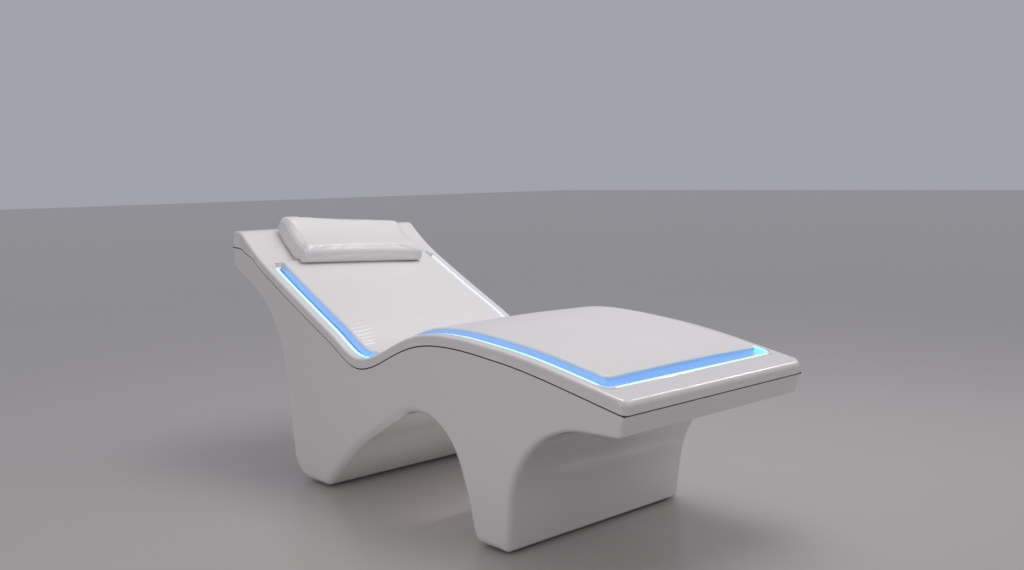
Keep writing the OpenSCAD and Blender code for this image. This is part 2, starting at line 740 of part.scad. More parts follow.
// Section of the pad, drawn in at its base and crowned on top: [y, lift]
pad_draw_in_share = 0.25;
belly_share = 0.45;
crown_steps = 4;
shoulder_steps = 3;
function shoulder(side, half, high, r) = [for (k = [1:shoulder_steps]) let (t = 90 * k / shoulder_steps)
    [side * (half - r * (1 - cos(t))), high - r * (1 - sin(t))]];
function pad_section(half, low, high, crown, r) = let (foot = half - pad_draw_in_share * pad_edge_r,
    b = low + (high - low) * belly_share, flat = half - r)
    concat([[-foot, low], [-half, b]], shoulder(-1, half, high, r),
        [for (k = [1:crown_steps - 1]) let (s = 2 * k / crown_steps - 1)
            [flat * s, high + crown * (1 - s ^ 2)]],
        reverse(shoulder(1, half, high, r)), [[half, b], [foot, low]]);
// A ring of the pad, or of the space inside its cover, at a distance from the end
function pad_ring(x, e, t) = let (fall = dip(e, pad_edge_r - t),
    half = pad_half - t - dip(e, pad_corner_r - t),
    section = pad_section(half, pad_low + t, pad_high - t - fall, pad_crown, pad_edge_r - t - fall / 2))
    [for (p = section) let (q = skin(x, p.y)) [q.x, p.x, q.y]];
end_steps = 2;
module pad_body(t) {
    ends = round_insets(pad_corner_r - t, end_steps);
    clear = pad_corner_r + over;
    loft(concat([for (e = ends) pad_ring(pad_x0 + t + e, e, t)],
        [for (i = [0:long_steps]) let (x = station(i)) if (x > pad_x0 + clear && x < pad_x1 - clear)
            pad_ring(x, pad_corner_r, t)],
        [for (e = reverse(ends)) pad_ring(pad_x1 - t - e, e, t)]));
}

board_low = pad_low + cover_t + seat_gap;
board_in = pad_edge_r / 2;
module board_column(inset) {
    d = cover_t + inset;
    column(plan(pad_x0 + d, pad_x1 - d, pad_half - d, pad_corner_r));
}

module pad_cover() {
    color("whitesmoke") as_one() difference() {
        pad_body(0);
        pad_body(cover_t);
        intersection() {
            board_column(cover_fold_w);
            across(layer(-2 * recess_d, board_low + cover_t));
        }
    }
}

module pad_foam() {
    color("khaki") as_one() difference() {
        pad_body(cover_t);
        across(layer(-2 * recess_d, board_low + board_t));
    }
}

module pad_board() {
    color("tan") intersection() {
        board_column(board_in);
        across(layer(board_low, board_low + board_t));
    }
}

// Pillow: a neck roll over the head end of the pad, a shallow dip and a rear hump

pillow_x1 = pad_x0 + pillow_over_pad;
pillow_x0 = pillow_x1 - pillow_l;
pillow_mid_x = pillow_x1 - pillow_l / 2;
over_pad = pad_high + pad_crown + seat_gap;
// Over the top from the front to the rear, [place, lift] as shares of the pillow's length and thickness
pillow_top_shares = [[1, 0.36], [1, 0.58], [0.995, 0.78], [0.97, 0.91], [0.92, 0.98], [0.85, 1],
    [0.73, 0.98], [0.6, 0.94], [0.45, 0.92], [0.32, 0.93], [0.2, 0.96], [0.1, 0.98], [0.03, 0.96],
    [-0.01, 0.85], [-0.02, 0.5], [0, 0.2]];
// Under it from the rear to the front, stepping up over the head end of the pad
step_x = pad_x0 - over;
function pillow_line(step) = concat(
    [for (s = pillow_top_shares) [pillow_x0 + s.x * pillow_l, s.y * pillow_t]],
    [[pillow_x0 + 0.05 * pillow_l, seat_gap], [pillow_x0 + 0.25 * pillow_l, seat_gap],
        [step - over, seat_gap], [step, 0.3 * over_pad], [step + 2.5 * over, 0.85 * over_pad],
        [step + 6 * over, over_pad], [pillow_x1 - 0.04 * pillow_l, over_pad]]);
// Thickness left at a distance from the pillow's end
thin_share = 0.1;
blunt_share = 0.78;
pillow_end_share = 0.08;
function fullness(v) = let (e = min((1 - v) / pillow_end_share, 1))
    (1 - thin_share * v ^ 3) * (blunt_share + (1 - blunt_share) * sqrt(1 - (1 - e) ^ 2));
// A ring of the pillow, or of the space inside its cover, at a share of the way to its end. The
// step under it follows the head end of the pad, to which the pillow lies turned
function pillow_ring(v, t) = let (q = fullness(abs(v)), y = v * (pillow_w / 2 - t),
    along = (0.85 + 0.15 * q) * (1 - 2 * t / pillow_l), up = 1 - 2 * t / (0.7 * pillow_t * q),
    step = pillow_mid_x + (step_x - pillow_mid_x - y * sin(pillow_turn)) / cos(pillow_turn))
    [for (p = pillow_line(step)) let (low = min(p.x > step + over ? over_pad : seat_gap, p.y),
        lift = low + (p.y - low) * q, mid = low + 0.36 * pillow_t * q,
        x = step + (p.x - step) * along - pillow_mid_x,
        s = skin(pillow_mid_x + x * cos(pillow_turn) + y * sin(pillow_turn), mid + (lift - mid) * up))
        [s.x, y * cos(pillow_turn) - x * sin(pillow_turn), s.y]];
pillow_steps = [0, 0.35, 0.6, 0.8, 0.92, 0.95, 0.98, 1];
module pillow_body(t) {
    loft(concat([for (v = reverse(pillow_steps)) pillow_ring(-v, t)],
        [for (v = pillow_steps) if (v > 0) pillow_ring(v, t)]));
}

// The cover is slit underneath for its zip
module pillow_cover() {
    zip_x = (pillow_mid_x + pillow_x0) / 2;
    color("whitesmoke") as_one() difference() {
        pillow_body(0);
        pillow_body(cover_t);
        intersection() {
            column(plan(zip_x, zip_x + cover_t, 0.35 * pillow_w, cover_t / 4));
            across(layer(-over, 2 * cover_t));
        }
    }
}

module pillow_core() {
    color("khaki") as_one() pillow_body(cover_t);
}

// Service panel on the back of the rear leg: local X runs up it, Y across, Z out of it

heel = xz(body_corners[3]);
back_up = unit(xz(body_corners[2]) - heel);
back_out = [-back_up.y, back_up.x];
function back_point(up, y, out) = let (p = heel + back_up * (panel_up + up) + back_out * out) [p.x, y, p.y];
module on_back() {
    translate(back_point(0, 0, 0)) rotate([0, atan2(back_out.x, back_out.y), 0]) children();
}
module at_panel_corners() {
    for (up = [-1, 1], side = [-1, 1])
        translate([up * (panel_h - panel_lap) / 2, side * (panel_w - panel_lap) / 2, 0]) children();
}
// A plate or block standing on a height, centred on the other two axes
module block(size, z) {
    translate([-size.x / 2, -size.y / 2, z]) cube(size);
}
// A small screw with its head standing on a height
module screw(z, shank) {
    translate([0, 0, z]) cylinder(h = screw_r, r = 2 * screw_r);
    translate([0, 0, z - shank]) cylinder(h = shank, r = screw_r);
}

inlet_y = 0.17 * panel_w;
switch_y = -0.25 * panel_w;
lip_z = panel_t + lip_t;
module at_inlet_screws() {
    for (side = [-1, 1]) translate([0, inlet_y + side * (inlet_w + ear_w) / 2, 0]) children();
}

module service_panel() {
    color("gainsboro") on_back() difference() {
        block([panel_h, panel_w, panel_t], 0);
        at_panel_corners() cylinder(h = 4 * panel_t, r = screw_r + seat_gap, center = true);
        at_inlet_screws() cylinder(h = 4 * panel_t, r = screw_r + thread_gap, center = true);
        translate([0, inlet_y, 0]) block([inlet_h, inlet_w, 4 * panel_t], -panel_t);
        translate([0, switch_y, 0]) block([switch_h, switch_w, 4 * panel_t], -panel_t);
    }
}

module panel_screws() {
    color("silver") on_back() at_panel_corners() screw(panel_t, panel_t + wall_t);
}

socket_up = 0.22 * inlet_h;
drawer_down = 0.25 * inlet_h;
pin_l = 0.6 * socket_depth;
module inlet_body() {
    color("black") on_back() difference() {
        translate([0, inlet_y, 0]) union() {
            block([inlet_h - 2 * seat_gap, inlet_w - 2 * seat_gap, inlet_depth + lip_z], -inlet_depth);
            block([inlet_h + 2 * lip_w, inlet_w + 2 * ear_w, lip_t], panel_t);
        }
        translate([socket_up, inlet_y, lip_z - socket_depth])
            block([socket_h, socket_w, 2 * socket_depth], 0);
        translate([-drawer_down, inlet_y, lip_z - drawer_l - seat_gap])
            block([drawer_h + 2 * seat_gap, drawer_w + 2 * seat_gap, 2 * drawer_l], 0);
        at_inlet_screws() cylinder(h = 8 * panel_t, r = screw_r + seat_gap, center = true);
        translate([0, inlet_y, -inlet_depth]) cylinder(h = 4 * lead_r, r = lead_r + seat_gap, center = true);
    }
}

module inlet_pins() {
    color("silver") on_back() for (k = [-1:1])
        translate([socket_up + (abs(k) - 0.5) * -0.24 * socket_h, inlet_y + 0.28 * k * socket_w, 0])
            block([0.24 * socket_h, 0.08 * socket_w, pin_l], lip_z - socket_depth);
}

module inlet_screws() {
    color("silver") on_back() at_inlet_screws() screw(lip_z, 2 * lip_z);
}

fuse_z = lip_z - 0.62 * drawer_l;
fuse_l = drawer_w - 4 * seat_gap - 2 * fuse_r / 2;
module fuse_drawer() {
    color("black") on_back() translate([-drawer_down, inlet_y, 0]) difference() {
        union() {
            block([drawer_h, drawer_w, drawer_l], lip_z - drawer_l);
            translate([-drawer_h / 3, 0, 0]) block([drawer_h / 4, drawer_w / 2, lip_t], lip_z);
        }
        translate([0, 0, fuse_z]) rotate([90, 0, 0])
            cylinder(h = fuse_l + 2 * thread_gap, r = fuse_r + thread_gap, center = true);
        translate([drawer_h / 2, 0, 0])
            block([drawer_h, fuse_l + 2 * thread_gap, 2 * (fuse_r + thread_gap)],
                fuse_z - fuse_r - thread_gap);
    }
}

module fuse_link() {
    color("lightblue") on_back() translate([-drawer_down, inlet_y, fuse_z]) rotate([90, 0, 0])
        cylinder(h = fuse_l, r = fuse_r, center = true);
}

rocker_room = 0.8;
rocker_half = switch_h / 2 - switch_t - rocker_room;
rocker_w = switch_w - 2 * switch_t - rocker_room;
rocker_z = lip_z - switch_t;
trunnion_r = 0.4 * switch_t;
trunnion_l = 0.35 * switch_t;
module switch_body() {
    color("black") on_back() translate([0, switch_y, 0]) difference() {
        union() {
            block([switch_h - 2 * seat_gap, switch_w - 2 * seat_gap, switch_depth + lip_z], -switch_depth);
            block([switch_h + 2 * lip_w, switch_w + 2 * lip_w, lip_t], panel_t);
        }
        block([switch_h - 2 * switch_t, switch_w - 2 * switch_t, 2 * switch_depth], rocker_z - 2 * switch_t);
        translate([0, 0, rocker_z]) rotate([90, 0, 0])
            cylinder(h = rocker_w + 2 * (trunnion_l + rocker_room), r = trunnion_r + seat_gap, center = true);
        for (side = [-1, 1]) translate([0, side * lead_spread, -switch_depth])
            cylinder(h = 4 * lead_r, r = lead_r + seat_gap, center = true);
    }
}

// The rocker rests with its upper end pressed in
module power_rocker() {
    low = -0.5 * switch_t;
    high = 0.75 * switch_t;
    color("dimgray") on_back() translate([0, switch_y, rocker_z]) rotate([0, -rocker_tilt, 0]) {
        rotate([90, 0, 0]) linear_extrude(height = rocker_w, center = true)
            polygon([[-rocker_half, low], [rocker_half, low], [rocker_half, high], [0, high / 2],
                [-rocker_half, high]]);
        rotate([90, 0, 0]) cylinder(h = rocker_w + 2 * trunnion_l, r = trunnion_r, center = true);
    }
}

// Driver on the rear sole plate and controller on the rear leg's rib

driver_x = rear_rib_x + rib_t / 2 + 3 * over + driver_w / 2;
module at_driver() {
    translate([driver_x, 0, sole_top]) children();
}
module at_driver_screws() {
    for (side = [-1, 1]) translate([driver_x, side * (driver_l + tab_l) / 2, sole_top]) children();
}

module led_driver() {
    color("silver") difference() {
        at_driver() {
            block([driver_w, driver_l, driver_h], 0);
            block([driver_w / 2, driver_l + 2 * tab_l, case_t], 0);
        }
        at_driver() block([driver_w - 2 * case_t, driver_l - 2 * case_t, driver_h], case_t);
        at_driver() translate([0, 0, driver_h / 2]) rotate([90, 0, 0])
            cylinder(h = 2 * driver_l, r = lead_r + seat_gap, center = true);
        at_driver_screws() cylinder(h = 4 * case_t, r = screw_r + seat_gap, center = true);
    }
}

// Circuit board with its transformer, chokes and capacitors
module driver_board() {
    color("seagreen") at_driver() {
        block([driver_w - 3 * case_t, 0.8 * driver_l, case_t], case_t + seat_gap);
        block([0.5 * driver_w, 0.18 * driver_l, 0.55 * driver_h], 2 * case_t);
        for (side = [-1, 1]) translate([0.1 * driver_w, side * 0.25 * driver_l, 2 * case_t])
            cylinder(h = 0.6 * driver_h, r = 0.14 * driver_w);
        for (side = [-1, 1]) translate([-0.24 * driver_w, side * 0.2 * driver_l, 0])
            block([0.12 * driver_w, 0.12 * driver_l, 0.4 * driver_h], 2 * case_t);
    }
}

module driver_cover() {
    color("silver") at_driver() {
        block([driver_w, driver_l, case_t], driver_h);
        block([driver_w - 2 * case_t - 2 * seat_gap, driver_l - 2 * case_t - 2 * seat_gap, case_t],
            driver_h - case_t);
    }
}

module driver_screws() {
    color("silver") at_driver_screws() screw(case_t, case_t + 0.4 * sole_plate_t);
}

controller_y = 0.5 * rib_half;
controller_x = rear_rib_x + rib_t / 2;
controller_z = sole_top + 2.6 * controller_h;
module at_controller_screws() {
    for (side = [-1, 1]) translate([controller_x, -controller_y + side * (controller_w + tab_l) / 2,
        controller_z + controller_h / 2]) rotate([0, 90, 0]) children();
}

module led_controller() {
    color("black") difference() {
        translate([controller_x, -controller_y, controller_z]) union() {
            translate([0, -controller_w / 2, 0]) cube([controller_d, controller_w, controller_h]);
            translate([0, -controller_w / 2 - tab_l, controller_h / 3])
                cube([case_t, controller_w + 2 * tab_l, controller_h / 3]);
        }
        at_controller_screws() cylinder(h = 4 * case_t, r = screw_r + seat_gap, center = true);
        for (z = [controller_z, controller_z + controller_h])
            translate([controller_x + controller_d / 2, -controller_y, z])
                cylinder(h = 4 * lead_r, r = lead_r + seat_gap, center = true);
    }
}

module controller_screws() {
    color("silver") at_controller_screws() screw(case_t, case_t + 0.6 * rib_t);
}

// Inner leads, each a round cable through its turning points, a little thicker where it bends

bend_r = lead_r + 2 * thread_gap;
module lead(points) {
    for (i = [0:len(points) - 2]) {
        v = points[i + 1] - points[i];
        translate(points[i]) rotate([0, acos(v.z / norm(v)), atan2(v.y, v.x)])
            cylinder(h = norm(v), r = lead_r);
        if (i > 0) translate(points[i]) sphere(r = bend_r);
    }
}
// How deep a lead's end goes into its case, and how far out it first turns
lead_in = 1.6 * lead_r;
lead_out = 6 * lead_r;
lead_spread = switch_w / 4;
driver_end = driver_l / 2 + tab_l + lead_out;
driver_lead_z = sole_top + driver_h / 2;

module switch_lead() {
    color("black") lead([back_point(0, inlet_y, -inlet_depth + lead_in),
        back_point(0, inlet_y, -inlet_depth - lead_out),
        back_point(0, switch_y + lead_spread, -inlet_depth - lead_out),
        back_point(0, switch_y + lead_spread, -switch_depth + lead_in)]);
}

module mains_lead() {
    color("black") lead([back_point(0, switch_y - lead_spread, -switch_depth + lead_in),
        back_point(0, switch_y - lead_spread, -inlet_depth - lead_out),
        [rear_rib_x - 1.5 * rib_t, 0, low_hole_z], [rear_rib_x + 1.5 * rib_t, 0, low_hole_z],
        [driver_x, driver_end + 2 * lead_out, driver_lead_z],
        [driver_x, driver_l / 2 - lead_in / 2, driver_lead_z]]);
}

module driver_lead() {
    x = controller_x + controller_d / 2;
    color("black") lead([[driver_x, -driver_l / 2 + lead_in / 2, driver_lead_z],
        [driver_x, -driver_end, driver_lead_z], [x, -controller_y, controller_z - 2 * lead_out],
        [x, -controller_y, controller_z + lead_in]]);
}

module strip_lead() {
    x = controller_x + controller_d / 2;
    up = skin(strip_lead_x + recess_r, -3 * recess_d);
    under_tray = surface_z(strip_lead_x) - side_band + lead_r / 2;
    color("black") lead([[x, -controller_y, controller_z + controller_h - lead_in],
        [x, -controller_y, high_hole_z], [rear_rib_x - 2 * rib_t, -controller_y, high_hole_z],
        [up.x, -0.8 * rib_half, up.y], [strip_lead_x, -rib_half + 3 * lead_r, under_tray],
        [strip_lead_x, -sleeve_y, under_tray],
        [strip_lead_x, -sleeve_y, surface_z(strip_lead_x) - recess_d]]);
}

base_shell();
top_shell();
seam_gasket();
shell_bolts();
shell_washers();
shell_nuts();
head_rib();
rear_leg_rib();
arch_rib();
front_leg_rib();
foot_rib();
rear_sole_plate();
front_sole_plate();
foot_inserts();
stud_rear_near();
stud_rear_far();
stud_front_near();
stud_front_far();
glide_rear_near();
glide_rear_far();
glide_front_near();
glide_front_far();
led_sleeve();
led_strip();
led_chips();
led_end_caps();
grip_tapes();
pad_cover();
pad_foam();
pad_board();
pillow_cover();
pillow_core();
service_panel();
panel_screws();
inlet_body();
inlet_pins();
inlet_screws();
fuse_drawer();
fuse_link();
switch_body();
power_rocker();
led_driver();
driver_board();
driver_cover();
driver_screws();
led_controller();
controller_screws();
mains_lead();
switch_lead();
driver_lead();
strip_lead();
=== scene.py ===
"""A spa relaxation lounger: two glossy mouldings, a lit recess, a vinyl pad and a contour pillow.

X runs along the lounger with the foot end at +X, Y across it, Z up from the floor, in metres.
"""

import math

import bmesh
import bpy
from mathutils import Matrix, Vector, noise


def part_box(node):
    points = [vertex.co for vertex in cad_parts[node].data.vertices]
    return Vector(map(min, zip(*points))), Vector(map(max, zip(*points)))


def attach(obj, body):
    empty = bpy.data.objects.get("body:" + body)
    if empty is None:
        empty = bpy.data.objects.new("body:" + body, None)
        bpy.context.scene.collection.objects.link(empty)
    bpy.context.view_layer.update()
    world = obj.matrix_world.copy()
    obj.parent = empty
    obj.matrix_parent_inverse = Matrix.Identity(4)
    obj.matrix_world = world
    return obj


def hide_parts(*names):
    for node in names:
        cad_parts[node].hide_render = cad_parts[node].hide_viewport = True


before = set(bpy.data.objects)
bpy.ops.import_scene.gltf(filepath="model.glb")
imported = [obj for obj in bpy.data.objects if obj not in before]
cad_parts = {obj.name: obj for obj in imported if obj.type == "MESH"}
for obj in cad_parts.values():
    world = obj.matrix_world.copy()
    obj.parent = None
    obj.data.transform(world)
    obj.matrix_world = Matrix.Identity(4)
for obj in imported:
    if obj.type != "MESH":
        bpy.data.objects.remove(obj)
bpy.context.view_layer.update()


# Camera
# It stands to the right of the foot end, a little higher than the head rim, as the photographer did.

camera_place = Vector((2.6065, -2.2315, 1.0447))
camera_azimuth = math.radians(47.79)
camera_pitch = math.radians(6.07)
camera_roll = math.radians(1.06)
forward = Vector((-math.sin(camera_azimuth), math.cos(camera_azimuth), 0)) * math.cos(camera_pitch)
forward.z = -math.sin(camera_pitch)
right = Vector((math.cos(camera_azimuth), math.sin(camera_azimuth), 0))
down = forward.cross(right)
rolled_right = right * math.cos(camera_roll) + down * math.sin(camera_roll)
rolled_down = down * math.cos(camera_roll) - right * math.sin(camera_roll)
camera_data = bpy.data.cameras.new("camera")
camera_data.sensor_width = 36
camera_data.lens = 37.18
camera_data.clip_start = 0.05
camera = bpy.data.objects.new("camera", camera_data)
bpy.context.scene.collection.objects.link(camera)
camera.matrix_world = Matrix.Translation(camera_place) @ Matrix(
    (rolled_right, -rolled_down, -forward)).transposed().to_4x4()
bpy.context.scene.camera = camera


# Base moulding
# A shell of glass-fibre resin with two wide legs, the arch between them and an overhang at each
# end. It is laid up in a mould, and its polished gel coat is what shows.

moulding_low, moulding_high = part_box("base_shell")
length = moulding_high.x - moulding_low.x
head_x, foot_x = moulding_low.x, moulding_high.x
sole_z = moulding_low.z
rim_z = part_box("top_shell")[1].z
half_width = 0.386
side_draft = 0.011
seam_gap = 0.004
wall = 0.006
# Room at each end before the first station along the seam
seam_clear = 0.02
# Roundings: between sides and legs, of the upright corners, and of the lower edge at the foot
edge_r = 0.024
plan_r = 0.018
apron_edge_r = 0.010
least_r = 0.003
# Depth of the top moulding's edge along the wave, at the head and at the foot
side_band = 0.034
head_band = 0.061
foot_band = 0.038

# Stations of the lounging surface: place, height and slope, as shares of the length and rim height
wave_shares = [
    (-0.5, 1, 0), (-0.47, 0.999, -0.09), (-0.445, 0.962, -1.68), (-0.379, 0.865, -1.19),
    (-0.173, 0.636, -1.08), (-0.088, 0.5535, 0), (0.005, 0.62, 1.03), (0.063, 0.669, 0.62),
    (0.152, 0.691, 0), (0.262, 0.6745, -0.2), (0.366, 0.642, -0.4), (0.5, 0.585, -0.43)]


def wave_span(x):
    """The two stations on either side of a place, and how far between them it lies."""
    share = x / length
    i = 0
    while i < len(wave_shares) - 2 and share > wave_shares[i + 1][0]:
        i += 1
    a, b = wave_shares[i], wave_shares[i + 1]
    return a, b, b[0] - a[0], (share - a[0]) / (b[0] - a[0])


def surface_z(x):
    a, b, w, t = wave_span(x)
    return rim_z * (a[1] * (2 * t ** 3 - 3 * t ** 2 + 1) + a[2] * w * (t ** 3 - 2 * t ** 2 + t)
                    + b[1] * (3 * t ** 2 - 2 * t ** 3) + b[2] * w * (t ** 3 - t ** 2))


def surface_angle(x):
    a, b, w, t = wave_span(x)
    slope = ((b[1] - a[1]) / w * (6 * t - 6 * t ** 2) + a[2] * (3 * t ** 2 - 4 * t + 1)
             + b[2] * (3 * t ** 2 - 2 * t))
    return math.atan(rim_z / length * slope)


def skin(x, lift):
    """The point at a height over the lounging surface, square to it, as (x, z)."""
    angle = surface_angle(x)
    return Vector((x - lift * math.sin(angle), surface_z(x) + lift * math.cos(angle)))


def ease(t):
    t = min(max(t, 0), 1)
    return t * t * (3 - 2 * t)


def seam_z(x):
    """Middle of the shadow gap between the mouldings."""
    share = x / length
    band = (side_band + (head_band - side_band) * (1 - ease((share + 0.47) / 0.052))
            + (foot_band - side_band) * ease((share - 0.152) / (0.5 - 0.152)))
    return surface_z(x) - band


def half_width_at(z):
    return half_width - side_draft * (1 - z / rim_z)


def dip(inset, radius):
    """How far a rounding of that radius falls short at an inset from the side."""
    return 0 if inset >= radius else radius - math.sqrt(radius ** 2 - (radius - inset) ** 2)


def round_insets(radius, steps):
    return [radius * (1 - math.cos(math.pi / 2 * k / steps)) for k in range(steps + 1)]


def turned(a, b, c):
    return math.pi - (a - b).angle(c - b)


def arc(a, b, c, radius, steps):
    """Points of the rounding at corner b on the way from a to c."""
    u, v = (a - b).normalized(), (c - b).normalized()
    half = u.angle(v) / 2
    middle = b + (u + v).normalized() * radius / math.sin(half)
    start = b + u * radius / math.tan(half) - middle
    sweep = (math.pi - 2 * half) * (1 if u.cross(v) < 0 else -1)
    return [middle + Matrix.Rotation(sweep * k / steps, 2) @ start for k in range(steps + 1)]


# Corners of the side view from the head end round the legs to the foot end: place, radius, and
# the rounding between that stretch and the side faces
body_corners = [
    (Vector((head_x, seam_z(head_x))), 0, plan_r), (Vector((head_x, 0.7131)), 0.0383, plan_r),
    (Vector((-0.6599, 0.5668)), 0.3404, edge_r), (Vector((-0.586, sole_z)), 0.0953, edge_r),
    (Vector((-0.387, sole_z)), 0.0451, edge_r), (Vector((-0.207, 0.1728)), 0.851, edge_r),
    (Vector((0.233, 0.4255)), 0.1966, edge_r), (Vector((0.347, 0.1353)), 0.4, edge_r),
    (Vector((0.377, sole_z)), 0.0357, edge_r), (Vector((0.514, sole_z)), 0.0119, edge_r),
    (Vector((0.56, 0.3847)), 0.2996, plan_r), (Vector((0.9349, 0.4017)), 0.0119, apron_edge_r),
    (Vector((foot_x, seam_z(foot_x))), 0, plan_r)]
corner_turns = [turned(body_corners[i - 1][0], body_corners[i][0], body_corners[i + 1][0])
                for i in range(1, len(body_corners) - 1)]
arc_step = math.radians(3.5)
wave_steps = 170
wave_places = [head_x + length * k / wave_steps for k in range(wave_steps + 1)]


def moved_corner(i, depth):
    """A corner moved into the body by a depth, with its radius grown or shrunk to match."""
    place, radius, _ = body_corners[i]
    if i in (0, len(body_corners) - 1):
        return place + Vector((depth if i == 0 else -depth, 0)), 0
    before = (place - body_corners[i - 1][0]).normalized()
    after = (body_corners[i + 1][0] - place).normalized()
    n1, n2 = Vector((-before.y, before.x)), Vector((-after.y, after.x))
    bulges = before.cross(after) > 0
    place = place + (n1 + n2) * depth / (1 + n1.dot(n2))
    return place, max(radius - depth, least_r) if bulges else radius + depth


def seam_line(x0, x1, lift):
    """Points at a height over the middle of the seam, from the foot end to the head end."""
    inner = [x for x in reversed(wave_places) if head_x + seam_clear < x < foot_x - seam_clear]
    return [Vector((x, seam_z(x) + lift)) for x in [x1] + inner + [x0]]


def body_outline(inset):
    """The side view below the seam, where the sides round off at an inset from the side faces."""
    corners = [moved_corner(i, dip(inset, body_corners[i][2])) for i in range(len(body_corners))]
    line = []
    for i, turn in enumerate(corner_turns, 1):
        line += arc(corners[i - 1][0], corners[i][0], corners[i + 1][0], corners[i][1],
                    max(4, math.ceil(turn / arc_step)))
    end_in = dip(inset, plan_r)
    return line, seam_line(head_x + end_in, foot_x - end_in, -seam_gap / 2)


def ring_of(bm, places):
    """A closed loop of new vertices through the places."""
    ring = [bm.verts.new(p) for p in places]
    for a, b in zip(ring, ring[1:] + ring[:1]):
        bm.edges.new((a, b))
    return ring


def next_ring(bm, ring, places):
    """Extrudes a closed loop to the next places."""
    edges = [bm.edges.get((a, b)) for a, b in zip(ring, ring[1:] + ring[:1])]
    made = bmesh.ops.extrude_edge_only(bm, edges=edges)["geom"]
    new = {v for v in made if isinstance(v, bmesh.types.BMVert)}
    following = []
    for v, place in zip(ring, places):
        follower = next(e.other_vert(v) for e in v.link_edges if e.other_vert(v) in new)
        follower.co = place
        following.append(follower)
    return following


def lofted(rings):
    """A closed skin through rings of places, one after another."""
    bm = bmesh.new()
    ring = ring_of(bm, rings[0])
    first_ring = list(ring)
    for places in rings[1:]:
        ring = next_ring(bm, ring, places)
    bm.faces.new(first_ring)
    bm.faces.new(ring)
    bmesh.ops.recalc_face_normals(bm, faces=bm.faces)
    return bm


def side_places(outline, side, inset):
    return [Vector((p.x, side * (half_width_at(p.y) - inset), p.y)) for p in outline]


def rounded_body(bm, outlines, insets):
    """A body between two leaning side faces, rounded at its edges. Returns its rings."""
    steps = list(zip(outlines, insets))
    rings = [ring_of(bm, side_places(outlines[0], -1, insets[0]))]
    bm.faces.new(rings[0])
    for outline, inset in steps[1:]:
        rings.append(next_ring(bm, rings[-1], side_places(outline, -1, inset)))
    for outline, inset in reversed(steps):
        rings.append(next_ring(bm, rings[-1], side_places(outline, 1, inset)))
    bm.faces.new(rings[-1])
    bmesh.ops.recalc_face_normals(bm, faces=bm.faces)
    return rings


def finished(bm, name, sharp=40):
    """The bmesh as a smooth-shaded object, sharp only past an angle in degrees."""
    mesh = bpy.data.meshes.new(name)
    for f in bm.faces:
        f.smooth = True
    bm.to_mesh(mesh)
    bm.free()
    mesh.set_sharp_from_angle(angle=math.radians(sharp))
    made = bpy.data.objects.new(name, mesh)
    bpy.context.scene.collection.objects.link(made)
    return made


def add_modifier(piece, kind, **settings):
    made = piece.modifiers.new(kind.lower(), kind)
    for name, value in settings.items():
        setattr(made, name, value)
    return made


def break_edges(piece):
    """Takes the sharpness off a moulding's edges, as rubbing down does."""
    add_modifier(piece, "BEVEL", width=0.0012, segments=3, limit_method="ANGLE",
                 angle_limit=math.radians(50))
    add_modifier(piece, "WEIGHTED_NORMAL", keep_sharp=True)


base = bmesh.new()
base_insets = round_insets(edge_r, 7)
base_outlines = [body_outline(inset) for inset in base_insets]
rings = rounded_body(base, [line + seam for line, seam in base_outlines], base_insets)
seam_start = len(base_outlines[0][0])
on_seam = {v for ring in rings for v in ring[seam_start:]}
bmesh.ops.delete(base, geom=[f for f in base.faces if all(v in on_seam for v in f.verts)],
                 context="FACES")

# The opening behind the service panel, in the flat back of the rear leg
panel_low, panel_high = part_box("service_panel")
panel_middle = (panel_low + panel_high) / 2
heel, nape = body_corners[3][0], body_corners[2][0]
back_up = Vector((nape.x - heel.x, 0, nape.y - heel.y)).normalized()
opening_half_up = 0.034
opening_half_across = 0.063
leg_back_reach = 0.05
cuts = [(panel_middle + way * opening_half_up * back_up, back_up) for way in (-1, 1)]
cuts += [(way * opening_half_across * Vector((0, 1, 0)), Vector((0, 1, 0))) for way in (-1, 1)]


def on_leg_back(f):
    middle = f.calc_center_median()
    return (abs(middle.x - panel_middle.x) < leg_back_reach and f.normal.x < -0.9
            and abs(f.normal.dot(back_up)) < 0.001)


def with_borders(faces):
    """The faces with their edges and vertices, as a cut asks for them."""
    edges, verts = {e for f in faces for e in f.edges}, {v for f in faces for v in f.verts}
    return faces + list(edges) + list(verts)


for place, normal in cuts:
    faces = [f for f in base.faces if on_leg_back(f)]
    bmesh.ops.bisect_plane(base, geom=with_borders(faces), plane_co=place, plane_no=normal)
bmesh.ops.delete(base, context="FACES", geom=[
    f for f in base.faces if on_leg_back(f)
    and abs((f.calc_center_median() - panel_middle).dot(back_up)) < opening_half_up
    and abs(f.calc_center_median().y) < opening_half_across])
base_moulding = finished(base, "base_moulding")
add_modifier(base_moulding, "SOLIDIFY", thickness=wall, offset=-1, use_even_offset=True,
             use_quality_normals=True)
break_edges(base_moulding)


